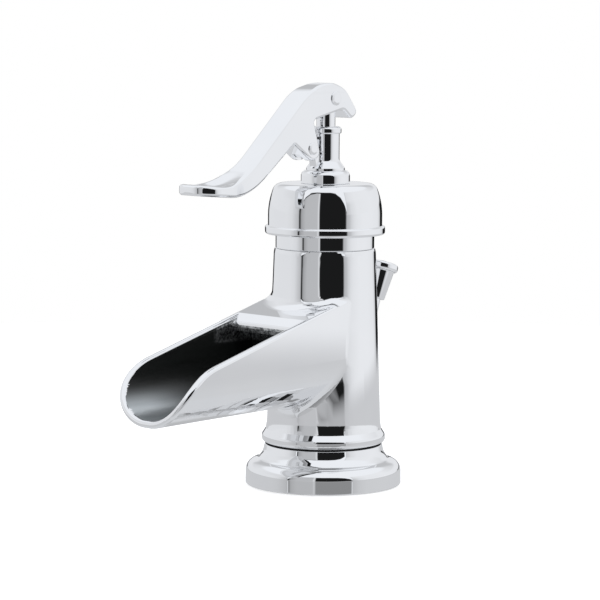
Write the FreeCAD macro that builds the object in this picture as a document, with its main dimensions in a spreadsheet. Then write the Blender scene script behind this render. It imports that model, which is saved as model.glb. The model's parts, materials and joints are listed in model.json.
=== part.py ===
"""Basin faucet: tapered column with an open trough spout, a pump lever on a tilting dome and a lift rod.

The origin lies on the column's axis in the plane of the deck. +Z is up, the spout and the lever point
along -Y, and the lift rod stands behind the column, on the +Y side.
"""
import FreeCAD, Part
import math
import os

import Sketcher

# Driving dimensions in millimetres, apart from the two tilts in degrees and the shares.
SIZES = {
    # Clearances
    "seat_gap": "0.05",
    "running_gap": "0.08",
    "moving_gap": "0.35",
    "cut_overrun": "6",
    # Base flange and gasket
    "base_radius": "34.5",
    "base_edge_round": "0.6",
    "base_shoulder_height": "9.3",
    "base_shoulder_round": "4.8",
    "pedestal_foot_height": "11.4",
    "pedestal_cove": "3",
    "base_height": "18.2",
    "gasket_thickness": "2",
    # Column
    "spigot_radius": "20.6",
    "spigot_length": "13.2",
    "bead_radius": "27.4",
    "bead_height": "2.6",
    "bead_slope_height": "1.3",
    "bead_round": "1.8",
    "bead_neck_radius": "25.6",
    "column_foot_radius": "25.3",
    "column_top_radius": "22.5",
    "column_rise": "32.8",
    # Trough spout
    "spout_half_width": "22.3",
    "spout_depth": "34.4",
    "spout_bottom_round": "20.8",
    "spout_reach": "107",
    "spout_wall": "3.2",
    "spout_blank_height": "58",
    "spout_nose_round": "28",
    "spout_drop_share": "0.019",
    "spout_edge_round": "1.5",
    "rim_root_rise": "14.3",
    "rim_slope_share": "0.283",
    "rim_round": "1.3",
    "lip_reach": "37.5",
    "lip_slope_reach": "4",
    "lip_top_drop": "3.2",
    "lip_thickness": "6.2",
    "cavity_slope_share": "0.27",
    "cavity_corner": "3",
    "cavity_depth": "12",
    "spout_blend": "5.5",
    # Bores of the valve body
    "foot_cavity_height": "26",
    "inlet_offset": "8.2",
    "inlet_setback": "2",
    "inlet_socket_depth": "10",
    "port_radius": "3.4",
    "outlet_setback": "10",
    "outlet_drop_share": "0.82",
    "outlet_length": "32",
    "cartridge_seat_height": "72",
    "bonnet_thread_radius": "19.4",
    # Cartridge
    "shell_radius": "17.4",
    "shell_wall": "2.4",
    "shell_rise": "24.8",
    "shell_roof": "2.5",
    "shell_neck_wall": "1.1",
    "seal_width": "1.4",
    "seal_thickness": "1.8",
    "seal_recess": "1",
    "base_flange_height": "3.2",
    "cartridge_base_height": "6.7",
    "fixed_disc_height": "3.5",
    "moving_disc_height": "3.5",
    "moving_disc_radius": "8.8",
    "mixing_pocket_radius": "6",
    "mixing_pocket_depth": "1.6",
    "carrier_height": "6",
    "carrier_socket_depth": "4.9",
    "rotor_radius": "12",
    "rotor_flange_radius": "14.2",
    "rotor_flange_height": "1.2",
    "rotor_slot_half_length": "8",
    "pivot_rise": "35",
    "cartridge_rise": "38.5",
    "stem_half_width": "4",
    "stem_foot_drop": "6",
    "stem_ball_drop": "16.6",
    "stem_ball_radius": "2.4",
    "stem_neck_radius": "1.6",
    "stem_rise": "55",
    "lever_pin_radius": "1.5",
    "lever_pin_half_length": "10.5",
    # Bonnet nut
    "clamp_ring_height": "1.2",
    "bonnet_radius": "21.8",
    "bonnet_rise": "40.3",
    "bonnet_edge_round": "0.5",
    # Dome handle
    "dome_ring_rise": "39.1",
    "dome_ring_height": "3.7",
    "dome_ring_radius": "26.5",
    "dome_ring_inner_radius": "23.6",
    "dome_ring_round": "1.2",
    "dome_radius": "25.2",
    "dome_wall": "2.1",
    "dome_rise": "61.4",
    "dome_shoulder_round": "8",
    "dome_boss_radius": "8.6",
    "dome_boss_rise": "44.5",
    "grub_radius": "2",
    "grub_rise": "49.5",
    # Plinth, post and rod
    "plinth_radius": "10.8",
    "plinth_height": "5.8",
    "plinth_round": "2.6",
    "collar_radius": "8.5",
    "collar_edge": "1",
    "collar_height": "4.2",
    "collar_cove": "3",
    "post_radius": "6.1",
    "post_height": "19.2",
    "post_bead_radius": "6.9",
    "post_bead_height": "3.1",
    "post_bead_round": "1.3",
    "stud_radius": "2.5",
    "stud_top_length": "6.6",
    "stud_bottom_length": "5",
    "rod_radius": "4.15",
    "rod_seat_depth": "9",
    "arm_half_width": "2",
    "arm_root_height": "7.4",
    "arm_foot_forward": "7.4",
    "arm_chin_forward": "8.6",
    "arm_chin_rise": "5",
    # Pump lever
    "upper_pin_rise": "98.8",
    "upper_pin_radius": "2.2",
    "upper_pin_head_radius": "3.2",
    "lower_pin_forward": "14.2",
    "lower_pin_drop": "21.6",
    "lower_pin_radius": "1.9",
    "lower_pin_head_radius": "2.8",
    "pin_head_height": "0.8",
    "pin_head_round": "0.6",
    "lever_half_width": "6.2",
    "lever_reach": "82.8",
    "lever_drop": "40.6",
    "lever_crown": "6.7",
    "lobe_radius": "4.2",
    "spoon_half_width": "11.2",
    "spoon_end_round": "9.5",
    "spoon_dish_depth": "1.1",
    "spoon_dish_radius": "4",
    # Lift rod and knob
    "lift_tilt": "18",
    "lift_deck_offset": "6.8",
    "lift_rod_radius": "2.5",
    "lift_rod_below": "80",
    "lift_end_radius": "2.3",
    "lift_end_length": "20",
    "knob_height": "84.2",
    "knob_foot_radius": "4.2",
    "knob_neck_radius": "5.8",
    "knob_neck_height": "13",
    "knob_flange_radius": "7.2",
    "knob_flange_height": "3.4",
    "knob_flange_round": "1.2",
    "knob_crown": "1.1",
    "knob_socket_depth": "8",
    "bush_radius": "3.9",
    "bush_bottom": "24",
    "bush_length": "12.2",
    "rod_seal_height": "1.7",
    # Deck fixing and supply
    "shank_radius": "17",
    "shank_bore_radius": "14",
    "shank_top": "12.5",
    "shank_below": "50",
    "deck_thickness": "27",
    "washer_radius": "26",
    "deck_washer_height": "3",
    "clamp_washer_height": "2",
    "nut_flat_radius": "22",
    "nut_height": "10",
    "nut_edge_width": "1.5",
    "supply_radius": "4.76",
    "supply_wall": "0.8",
    "supply_below": "80",
    "supply_end_length": "20",
    "supply_bead_radius": "5.4",
    "supply_bead_height": "1.6",
}

# The base's steps and the gasket's ring, in shares of the base's radius.
BASE_SHARES = {"pedestal_foot": 0.826, "pedestal": 0.7565, "gasket_inner": 0.7536, "gasket_outer": 0.9275}
# The lever's arm in side view, in shares of its reach and its drop.
LEVER_TIP_SHARES = {"low": 0.953, "high": 0.855, "round": 0.0225}
LEVER_ELBOW_SHARES = {"low": 0.669, "high_reach": 0.686, "high_drop": 0.916, "low_round": 0.366, "high_round": 0.48}
# The lever's head in side view, in shares of the two pins' distances forwards and down.
LEVER_NOTCH_SHARES = {"forward": 1.808, "drop": 0.838, "round": 0.0875}
LEVER_LOBE_SHARES = {"back": 1.93, "down": 2.79}
LEVER_THROAT_SHARES = {"forward": 0.945, "drop": 0.43, "round": 0.105}
LEVER_PALATE_SHARES = {"back": 0.35, "drop": 0.2275, "round": 0.21}
LEVER_HOOK_SHARES = {"low_back": 0.735, "low_drop": 0.4455, "back": 1.015, "drop": 0.2875, "round": 0.169}
LEVER_CROWN_SHARES = {"back": 0.3265, "front": 0.869, "back_round": 0.875, "front_round": 1.69}
# The spoon's plan: where it starts to widen and where it is full, in shares of the lever's reach.
SPOON_PLAN_SHARES = {"start": 0.634, "full": 0.82, "start_round": 0.22, "full_round": 0.13, "dish": 0.87}
# The dish's ellipsoid, in shares of the spoon's half width.
SPOON_DISH_SHARES = {"across": 1.2, "along": 1.7}

doc = FreeCAD.newDocument("basin_faucet")
sheet = doc.addObject("Spreadsheet::Sheet", "Sizes")
for row, (alias, text) in enumerate(SIZES.items(), start=1):
    sheet.set(f"A{row}", alias)
    sheet.set(f"B{row}", text)
    sheet.setAlias(f"B{row}", alias)
doc.recompute()


class Size:
    """A dimension known both as a number and as an expression on the sheet's cells."""

    def __init__(self, text, value):
        self.text = text
        self.value = value

    def __add__(self, other):
        other = as_size(other)
        return Size(f"({self.text} + {other.text})", self.value + other.value)

    def __sub__(self, other):
        other = as_size(other)
        return Size(f"({self.text} - {other.text})", self.value - other.value)

    def __mul__(self, other):
        other = as_size(other)
        return Size(f"({self.text} * {other.text})", self.value * other.value)

    def __truediv__(self, other):
        other = as_size(other)
        return Size(f"({self.text} / {other.text})", self.value / other.value)

    def __neg__(self):
        return Size(f"(0 - {self.text})", -self.value)

    __radd__ = __add__
    __rmul__ = __mul__


class SheetSizes:
    """The sheet's cells by alias, as sizes."""

    def __getattr__(self, alias):
        return Size(f"Sizes.{alias}", float(sheet.get(alias)))


def as_size(number):
    """A plain number, such as a count or a share, as a size."""
    return number if isinstance(number, Size) else Size(repr(float(number)), float(number))


def turn_of(function, angle):
    """The sine or the cosine of an angle on the sheet."""
    return Size(f"{function.__name__}({angle.text})", function(math.radians(angle.value)))


d = SheetSizes()
ZERO = as_size(0)

# Heights that go up and down with the cartridge's seat
spout_bottom = d.cartridge_seat_height - d.spout_depth
rim_root_height = d.cartridge_seat_height + d.rim_root_rise
shell_top = d.cartridge_seat_height + d.shell_rise
pivot_height = d.cartridge_seat_height + d.pivot_rise
cartridge_top = d.cartridge_seat_height + d.cartridge_rise
stem_top = d.cartridge_seat_height + d.stem_rise
column_top = d.cartridge_seat_height + d.column_rise
bonnet_top = d.cartridge_seat_height + d.bonnet_rise
dome_ring_bottom = d.cartridge_seat_height + d.dome_ring_rise
dome_top = d.cartridge_seat_height + d.dome_rise
dome_boss_bottom = d.cartridge_seat_height + d.dome_boss_rise
grub_height = d.cartridge_seat_height + d.grub_rise
upper_pin_height = d.cartridge_seat_height + d.upper_pin_rise

# Heights and radii that several pieces share
spigot_bottom = d.base_height - d.spigot_length
bead_bottom = d.base_height + d.bead_slope_height
column_foot = bead_bottom + d.bead_height + d.bead_slope_height * 2
cartridge_floor = d.cartridge_seat_height + d.seal_thickness - d.seal_recess
fixed_disc_bottom = cartridge_floor + d.cartridge_base_height
moving_disc_bottom = fixed_disc_bottom + d.fixed_disc_height
carrier_bottom = moving_disc_bottom + d.moving_disc_height
rotor_bottom = carrier_bottom + d.carrier_height + d.moving_gap
shell_inner_radius = d.shell_radius - d.shell_wall
rotor_bore_radius = d.rotor_radius + d.moving_gap
shell_neck_radius = rotor_bore_radius + d.shell_neck_wall
bonnet_bottom = shell_top + d.clamp_ring_height
plinth_top = dome_top + d.plinth_height
post_top = plinth_top + d.post_height
rod_foot = post_top - d.rod_seat_depth
lower_pin_height = upper_pin_height - d.lower_pin_drop
lever_slot_half_width = d.rod_radius + d.moving_gap
PORTS = (
    (-d.inlet_offset, -d.inlet_setback),
    (d.inlet_offset, -d.inlet_setback),
    (ZERO, -d.outlet_setback),
)


def column_radius_at(height):
    """The tapered column's radius at a height."""
    taper = (d.column_foot_radius - d.column_top_radius) / (column_top - column_foot)
    return d.column_top_radius + taper * (column_top - height)


def new_body(label, base=None, axis=None, angle=None):
    """An empty body, placed at a base point and turned by an angle about an axis."""
    body = doc.addObject("PartDesign::Body", label)
    body.Label = label
    if axis is not None:
        body.Placement = FreeCAD.Placement(FreeCAD.Vector(), FreeCAD.Rotation(axis, angle.value))
        body.setExpression("Placement.Rotation.Angle", angle.text)
    for name, size in zip("xyz", base or ()):
        body.setExpression(f"Placement.Base.{name}", size.text)
    return body


def new_sketch(body, role, offset=None):
    """A sketch on one of the body's own origin planes, moved along the plane's normal by an offset."""
    plane = next(feature for feature in body.Origin.OriginFeatures if feature.Role == role)
    sketch = body.newObject("Sketcher::SketchObject", f"{body.Label}_outline")
    sketch.AttachmentSupport = (plane, [""])
    sketch.MapMode = "FlatFace"
    if offset is not None:
        sketch.setExpression("AttachmentOffset.Base.z", offset.text)
    return sketch


def hold_point(sketch, geometry, end, x, y):
    """Tie a point of a sketch to its coordinates on the sheet."""
    for kind, size, axis in (("DistanceX", x, -2), ("DistanceY", y, -1)):
        if size.value == 0:
            sketch.addConstraint(Sketcher.Constraint("PointOnObject", geometry, end, axis))
        else:
            index = sketch.addConstraint(Sketcher.Constraint(kind, -1, 1, geometry, end, size.value))
            sketch.setExpression(f"Constraints[{index}]", size.text)


def add_circle(sketch, x, y, radius):
    """A circle at a point of a sketch."""
    centre = FreeCAD.Vector(x.value, y.value, 0)
    circle = sketch.addGeometry(Part.Circle(centre, FreeCAD.Vector(0, 0, 1), radius.value))
    hold_point(sketch, circle, 3, x, y)
    index = sketch.addConstraint(Sketcher.Constraint("Radius", circle, radius.value))
    sketch.setExpression(f"Constraints[{index}]", radius.text)


def corner_arc(before, corner, after, radius):
    """Where a rounding of a corner starts and ends, its centre, and whether it turns left."""
    back = (before - corner).normalize()
    ahead = (after - corner).normalize()
    half = back.getAngle(ahead) / 2
    reach = radius / math.tan(half)
    centre = corner + (back + ahead).normalize() * (radius / math.sin(half))
    turns_left = ahead.cross(back).z > 0
    return corner + back * reach, corner + ahead * reach, centre, turns_left


def add_loop(sketch, corners):
    """A closed loop of straight runs: a corner is (x, y), or (x, y, radius) where it is rounded."""
    corners = [tuple(as_size(value) for value in corner) for corner in corners]
    points = [FreeCAD.Vector(corner[0].value, corner[1].value, 0) for corner in corners]
    count = len(corners)
    arcs = {}
    for i, corner in enumerate(corners):
        if len(corner) == 3:
            arcs[i] = corner_arc(points[i - 1], points[i], points[(i + 1) % count], corner[2].value)
    lines = []
    for i in range(count):
        following = (i + 1) % count
        start = arcs[i][1] if i in arcs else points[i]
        end = arcs[following][0] if following in arcs else points[following]
        lines.append(sketch.addGeometry(Part.LineSegment(start, end)))
    for i, corner in enumerate(corners):
        if i in arcs:
            round_corner(sketch, lines[i - 1], lines[i], corner, points[i], arcs[i])
        else:
            sketch.addConstraint(Sketcher.Constraint("Coincident", lines[i - 1], 2, lines[i], 1))
            hold_point(sketch, lines[i], 1, corner[0], corner[1])


def round_corner(sketch, line_before, line_after, corner, point, arc):
    """An arc tangent to two runs, whose lines meet in a corner that stays as a construction point."""
    start, end, centre, turns_left = arc
    x, y, radius = corner
    low, high = (start, end) if turns_left else (end, start)
    angles = [math.atan2(p.y - centre.y, p.x - centre.x) for p in (low, high)]
    if angles[1] < angles[0]:
        angles[1] += 2 * math.pi
    circle = Part.Circle(centre, FreeCAD.Vector(0, 0, 1), radius.value)
    curve = sketch.addGeometry(Part.ArcOfCircle(circle, angles[0], angles[1]))
    mark = sketch.addGeometry(Part.Point(point), True)
    hold_point(sketch, mark, 1, x, y)
    sketch.addConstraint(Sketcher.Constraint("PointOnObject", mark, 1, line_before))
    sketch.addConstraint(Sketcher.Constraint("PointOnObject", mark, 1, line_after))
    first, last = (1, 2) if turns_left else (2, 1)
    sketch.addConstraint(Sketcher.Constraint("Tangent", line_before, 2, curve, first))
    sketch.addConstraint(Sketcher.Constraint("Tangent", curve, last, line_after, 1))
    index = sketch.addConstraint(Sketcher.Constraint("Radius", curve, radius.value))
    sketch.setExpression(f"Constraints[{index}]", radius.text)


def outline(body, role, corners, offset=None):
    """A sketch that holds one closed loop."""
    sketch = new_sketch(body, role, offset)
    add_loop(sketch, corners)
    return sketch


def extrude(body, kind, sketch, length, symmetric=False, reverse=False, direction=None):
    """A pad or a pocket of a sketch; a direction is three sizes, and the length runs along it."""
    feature = body.newObject(f"PartDesign::{kind}", f"{body.Label}_{kind.lower()}")
    feature.Profile = sketch
    feature.setExpression("Length", length.text)
    feature.SideType = "Symmetric" if symmetric else "One side"
    feature.Reversed = reverse
    if direction is not None:
        feature.UseCustomVector = True
        feature.AlongSketchNormal = False
        feature.Direction = FreeCAD.Vector(*(size.value for size in direction))
        for name, size in zip("xyz", direction):
            feature.setExpression(f"Direction.{name}", size.text)
    return feature


def spin(body, kind, corners):
    """A revolution or a groove of (radius, height) corners about the body's Z axis."""
    sketch = outline(body, "XZ_Plane", corners)
    feature = body.newObject(f"PartDesign::{kind}", f"{body.Label}_{kind.lower()}")
    feature.Profile = sketch
    feature.ReferenceAxis = (sketch, ["V_Axis"])
    return feature


def turned(label, corners, base=None, axis=None, angle=None):
    """A body turned from one outline."""
    body = new_body(label, base, axis, angle)
    spin(body, "Revolution", corners)
    return body


def ring(label, inner, outer, bottom, top):
    """A plain ring about the Z axis."""
    return turned(label, [(inner, bottom), (outer, bottom), (outer, top), (inner, top)])


def round_edges(body, radius, wanted):
    """Fillet the edges of the body's last feature that the wanted test picks."""
    doc.recompute()
    base = body.Tip
    names = [f"Edge{i}" for i, edge in enumerate(base.Shape.Edges, start=1) if wanted(edge)]
    fillet = body.newObject("PartDesign::Fillet", f"{body.Label}_fillet")
    fillet.Base = (base, names)
    fillet.setExpression("Radius", radius.text)
    return fillet


def rounded_form(body, kind, centre, tilt=None):
    """A sphere or an ellipsoid of the body, centred at a point and tilted about X by an angle."""
    form = body.newObject(f"PartDesign::{kind}", f"{body.Label}_{kind.lower()}")
    form.AttachmentSupport = (next(item for item in body.Origin.OriginFeatures if item.Role == "XY_Plane"), [""])
    form.MapMode = "FlatFace"
    if tilt is not None:
        form.AttachmentOffset = FreeCAD.Placement(FreeCAD.Vector(), FreeCAD.Rotation(FreeCAD.Vector(1, 0, 0), tilt.value))
        form.setExpression("AttachmentOffset.Rotation.Angle", tilt.text)
    for name, size in zip("xyz", centre):
        form.setExpression(f"AttachmentOffset.Base.{name}", size.text)
    return form


def base_share(step):
    """A radius of the base or its gasket."""
    return d.base_radius * BASE_SHARES[step]


def make_base_flange():
    bore = d.spigot_radius + d.seat_gap
    inner, outer = base_share("gasket_inner"), base_share("gasket_outer")
    return turned("base_flange", [
        (bore, ZERO),
        (inner, ZERO),
        (inner, d.gasket_thickness),
        (outer, d.gasket_thickness),
        (outer, ZERO),
        (d.base_radius, ZERO, d.base_edge_round),
        (d.base_radius, d.base_shoulder_height, d.base_shoulder_round),
        (base_share("pedestal_foot"), d.pedestal_foot_height, d.pedestal_cove),
        (base_share("pedestal"), d.base_height),
        (bore, d.base_height),
    ])


def make_base_gasket():
    inner = base_share("gasket_inner") + d.seat_gap
    outer = base_share("gasket_outer") - d.seat_gap
    return ring("base_gasket", inner, outer, ZERO, d.gasket_thickness)


def column_corners():
    """The column with its spigot, bead and taper, as a solid of revolution."""
    bead_top = bead_bottom + d.bead_height + d.bead_slope_height
    return [
        (ZERO, spigot_bottom),
        (d.spigot_radius, spigot_bottom),
        (d.spigot_radius, d.base_height),
        (d.bead_neck_radius, d.base_height),
        (d.bead_radius, bead_bottom, d.bead_round),
        (d.bead_radius, bead_top - d.bead_slope_height, d.bead_round),
        (d.column_foot_radius, column_foot),
        (d.column_top_radius, column_top),
        (ZERO, column_top),
    ]


def spout_section(half_width, bottom, corner, top):
    """The trough's U section, looking along the spout."""
    return [(-half_width, top), (-half_width, bottom, corner), (half_width, bottom, corner), (half_width, top)]


def rim_height_at(forward):
    """The height of the plane that holds the roof and the rim, at a distance in front of the axis."""
    return rim_root_height - d.rim_slope_share * forward


def shape_spout(body):
    """The trough's blank, which drops a little, cut by one sloping plane that rolls down into the nose."""
    top = spout_bottom + d.spout_blank_height
    section = spout_section(d.spout_half_width, spout_bottom, d.spout_bottom_round, top)
    length = d.spout_reach + d.cut_overrun
    extrude(body, "Pad", outline(body, "XZ_Plane", section), length, direction=along_spout())
    far = length + d.cut_overrun
    above = top + d.cut_overrun
    below = spout_bottom - d.cut_overrun * 2
    rim = [
        (ZERO, above),
        (ZERO, rim_root_height),
        (-d.spout_reach, rim_height_at(d.spout_reach), d.spout_nose_round),
        (-d.spout_reach, below),
        (-far, below),
        (-far, above),
    ]
    width = (d.spout_half_width + d.cut_overrun) * 2
    extrude(body, "Pocket", outline(body, "YZ_Plane", rim), width, symmetric=True)


def along_spout():
    """The spout's own direction, forwards and slightly down."""
    return (ZERO, as_size(-1), -d.spout_drop_share)


def hollow_spout(body):
    """The open trough in front of the roof's sloping lip, and the cavity that runs back under the roof."""
    half_width = d.spout_half_width - d.spout_wall
    bottom = spout_bottom + d.spout_wall - d.spout_drop_share * d.lip_reach
    corner = d.spout_bottom_round - d.spout_wall
    top = spout_bottom + d.spout_blank_height + d.cut_overrun
    section = spout_section(half_width, bottom, corner, top)
    length = d.spout_reach - d.lip_reach + d.cut_overrun
    extrude(body, "Pocket", outline(body, "XZ_Plane", section, d.lip_reach), length, direction=along_spout())
    edge = d.lip_reach - d.lip_slope_reach
    face_top = rim_height_at(d.lip_reach) - d.lip_top_drop
    slope = [
        (-edge, rim_height_at(edge)),
        (-d.lip_reach, face_top),
        (-d.lip_reach - d.cut_overrun, face_top),
        (-d.lip_reach - d.cut_overrun, top),
        (-edge, top),
    ]
    extrude(body, "Pocket", outline(body, "YZ_Plane", slope), half_width * 2, symmetric=True)
    ceiling = rim_height_at(d.lip_reach) - d.lip_thickness
    cavity = [
        (-half_width, ceiling, d.cavity_corner),
        (-half_width, bottom, corner),
        (half_width, bottom, corner),
        (half_width, ceiling, d.cavity_corner),
    ]
    lip = outline(body, "XZ_Plane", cavity, d.lip_reach)
    extrude(body, "Pocket", lip, d.cavity_depth, direction=(ZERO, as_size(1), d.cavity_slope_share))


def bore_body(body):
    """The cartridge's bore, the cavity in the foot, the waterways and the lift rod's passage."""
    bore = d.shell_radius + d.moving_gap
    above = column_top + d.cut_overrun
    spin(body, "Groove", [
        (ZERO, d.cartridge_seat_height),
        (bore, d.cartridge_seat_height),
        (bore, bonnet_bottom),
        (d.bonnet_thread_radius, bonnet_bottom),
        (d.bonnet_thread_radius, above),
        (ZERO, above),
    ])
    cavity = d.shank_radius + d.seat_gap
    below = spigot_bottom - d.cut_overrun
    spin(body, "Groove", [(ZERO, below), (cavity, below), (cavity, d.foot_cavity_height), (ZERO, d.foot_cavity_height)])
    sockets = new_sketch(body, "XY_Plane", d.foot_cavity_height)
    waterways = new_sketch(body, "XY_Plane", d.foot_cavity_height)
    for x, y in PORTS[:2]:
        add_circle(sockets, x, y, d.supply_radius + d.seat_gap)
        add_circle(waterways, x, y, d.port_radius)
    extrude(body, "Pocket", sockets, d.inlet_socket_depth, reverse=True)
    extrude(body, "Pocket", waterways, d.cartridge_seat_height - d.foot_cavity_height, reverse=True)
    outlet = new_sketch(body, "XY_Plane", d.cartridge_seat_height)
    add_circle(outlet, *PORTS[2], d.port_radius)
    extrude(body, "Pocket", outlet, d.outlet_length, direction=(ZERO, as_size(-1), -d.outlet_drop_share))
    guide_top = d.bush_bottom + d.bush_length + d.rod_seal_height
    passage_top = d.knob_height
    for radius, top in ((d.bush_radius + d.seat_gap, guide_top), (d.lift_rod_radius + d.moving_gap, passage_top)):
        passage = new_sketch(body, "XY_Plane")
        tilt = FreeCAD.Rotation(FreeCAD.Vector(1, 0, 0), -d.lift_tilt.value)
        passage.AttachmentOffset = FreeCAD.Placement(FreeCAD.Vector(), tilt)
        passage.setExpression("AttachmentOffset.Base.y", d.lift_deck_offset.text)
        passage.setExpression("AttachmentOffset.Rotation.Angle", (-d.lift_tilt).text)
        add_circle(passage, ZERO, ZERO, radius)
        extrude(body, "Pocket", passage, top, reverse=True)


def three_points(edge):
    """An edge's two ends and its middle."""
    middle = (edge.FirstParameter + edge.LastParameter) / 2
    return [edge.valueAt(parameter) for parameter in (edge.FirstParameter, middle, edge.LastParameter)]


def meets_column(edge):
    """Whether an edge is where the spout's outside runs into the column."""
    points = three_points(edge)
    for point in points:
        radius = column_radius_at(as_size(point.z)).value
        if abs(math.hypot(point.x, point.y) - radius) > d.seat_gap.value:
            return False
    in_front = points[1].y < -d.cut_overrun.value / 4
    low = min(point.z for point in points)
    high = max(point.z for point in points)
    return in_front and low > column_foot.value + d.cut_overrun.value and high < rim_root_height.value


def nose_arc():
    """The nose's rounding in the side plane: where it starts and ends, its centre, and its sense."""
    root = FreeCAD.Vector(0, rim_root_height.value, 0)
    corner = FreeCAD.Vector(-d.spout_reach.value, rim_height_at(d.spout_reach).value, 0)
    foot = FreeCAD.Vector(-d.spout_reach.value, 0, 0)
    return corner_arc(root, corner, foot, d.spout_nose_round.value)


def on_cut(point):
    """Whether a point lies on the sloping plane or on the rounded nose."""
    start, end, centre, turns_left = nose_arc()
    if point.y > start.x:
        return abs(point.z - rim_height_at(as_size(-point.y)).value) < d.seat_gap.value
    off = math.hypot(point.y - centre.x, point.z - centre.y) - d.spout_nose_round.value
    return abs(off) < d.seat_gap.value


def along_cut(edge):
    """Whether an edge bounds the sloping plane or the nose, apart from the line where they join."""
    points = three_points(edge)
    seam = nose_arc()[0].x
    joins = all(abs(point.y - seam) < d.seat_gap.value for point in points)
    at_back = all(abs(point.y) < d.seat_gap.value for point in points)
    return all(on_cut(point) for point in points) and not joins and not at_back


def depth_in_wall(point):
    """How far a point lies inside the trough's outer surface."""
    centre_x = d.spout_half_width.value - d.spout_bottom_round.value
    centre_z = spout_bottom.value + d.spout_drop_share.value * point.y + d.spout_bottom_round.value
    if point.z > centre_z:
        return d.spout_half_width.value - abs(point.x)
    return d.spout_bottom_round.value - math.hypot(max(abs(point.x) - centre_x, 0), point.z - centre_z)


def on_mouth(edge):
    """Whether an edge runs round the inside of the trough's mouth."""
    deep = (d.spout_edge_round.value + d.spout_wall.value) / 2
    return along_cut(edge) and all(depth_in_wall(point) > deep for point in three_points(edge))


def make_valve_body():
    body = new_body("valve_body")
    shape_spout(body)
    round_edges(body, d.spout_edge_round, along_cut)
    spin(body, "Revolution", column_corners())
    round_edges(body, d.spout_blend, meets_column)
    hollow_spout(body)
    round_edges(body, d.rim_round, on_mouth)
    bore_body(body)
    return body


def make_bonnet_nut():
    spigot = d.bonnet_thread_radius - d.seat_gap
    bore = shell_neck_radius + d.moving_gap
    return turned("bonnet_nut", [
        (bore, bonnet_bottom),
        (spigot, bonnet_bottom),
        (spigot, column_top),
        (d.bonnet_radius, column_top, d.bonnet_edge_round),
        (d.bonnet_radius, bonnet_top, d.bonnet_edge_round),
        (bore, bonnet_top),
    ])


def make_clamp_ring():
    inner = shell_neck_radius + d.moving_gap
    return ring("clamp_ring", inner, d.shell_radius, shell_top, bonnet_bottom)


def make_cartridge_seals():
    """Three port seals, each standing in its recess in the cartridge's underside."""
    body = new_body("cartridge_seals")
    sketch = new_sketch(body, "XY_Plane", d.cartridge_seat_height)
    for x, y in PORTS:
        add_circle(sketch, x, y, d.port_radius + d.seal_width)
        add_circle(sketch, x, y, d.port_radius)
    extrude(body, "Pad", sketch, d.seal_thickness)
    return body


def make_cartridge_base():
    flange_top = cartridge_floor + d.base_flange_height
    plug = shell_inner_radius - d.seat_gap
    body = turned("cartridge_base", [
        (ZERO, cartridge_floor),
        (d.shell_radius, cartridge_floor),
        (d.shell_radius, flange_top),
        (plug, flange_top),
        (plug, fixed_disc_bottom),
        (ZERO, fixed_disc_bottom),
    ])
    recesses = new_sketch(body, "XY_Plane", cartridge_floor)
    ports = new_sketch(body, "XY_Plane", cartridge_floor)
    for x, y in PORTS:
        add_circle(recesses, x, y, d.port_radius + d.seal_width + d.seat_gap)
        add_circle(ports, x, y, d.port_radius)
    extrude(body, "Pocket", recesses, d.seal_recess, reverse=True)
    extrude(body, "Pocket", ports, d.cartridge_base_height, reverse=True)
    return body


def make_fixed_disc():
    radius = shell_inner_radius - d.seat_gap
    body = turned("fixed_ceramic_disc", [
        (ZERO, fixed_disc_bottom),
        (radius, fixed_disc_bottom),
        (radius, moving_disc_bottom),
        (ZERO, moving_disc_bottom),
    ])
    ports = new_sketch(body, "XY_Plane", fixed_disc_bottom)
    for x, y in PORTS:
        add_circle(ports, x, y, d.port_radius)
    extrude(body, "Pocket", ports, d.fixed_disc_height, reverse=True)
    return body


def make_moving_disc():
    pocket_top = moving_disc_bottom + d.mixing_pocket_depth
    return turned("moving_ceramic_disc", [
        (ZERO, pocket_top),
        (d.mixing_pocket_radius, pocket_top),
        (d.mixing_pocket_radius, moving_disc_bottom),
        (d.moving_disc_radius, moving_disc_bottom),
        (d.moving_disc_radius, carrier_bottom),
        (ZERO, carrier_bottom),
    ])


def make_disc_carrier():
    top = carrier_bottom + d.carrier_height
    socket = d.stem_ball_radius + d.moving_gap
    floor = top - d.carrier_socket_depth
    return turned("disc_carrier", [
        (ZERO, carrier_bottom),
        (d.moving_disc_radius, carrier_bottom),
        (d.moving_disc_radius, top),
        (socket, top),
        (socket, floor),
        (ZERO, floor),
    ])


def make_cartridge_shell():
    bottom = cartridge_floor + d.base_flange_height
    ceiling = shell_top - d.shell_roof
    return turned("cartridge_shell", [
        (shell_inner_radius, bottom),
        (d.shell_radius, bottom),
        (d.shell_radius, shell_top),
        (shell_neck_radius, shell_top),
        (shell_neck_radius, cartridge_top),
        (rotor_bore_radius, cartridge_top),
        (rotor_bore_radius, ceiling),
        (shell_inner_radius, ceiling),
    ])


def make_cartridge_rotor():
    """The turning sleeve, slotted for the stem and cross-drilled for its pin."""
    flange_top = rotor_bottom + d.rotor_flange_height
    body = turned("cartridge_rotor", [
        (ZERO, rotor_bottom),
        (d.rotor_flange_radius, rotor_bottom),
        (d.rotor_flange_radius, flange_top),
        (d.rotor_radius, flange_top),
        (d.rotor_radius, cartridge_top),
        (ZERO, cartridge_top),
    ])
    half_width = d.stem_half_width + d.moving_gap
    length = d.rotor_slot_half_length
    slot = [(-half_width, -length), (half_width, -length), (half_width, length), (-half_width, length)]
    height = cartridge_top - rotor_bottom
    extrude(body, "Pocket", outline(body, "XY_Plane", slot, rotor_bottom), height, reverse=True)
    drill_across(body, ZERO, pivot_height, d.lever_pin_radius + d.seat_gap, d.rotor_flange_radius)
    return body


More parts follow.
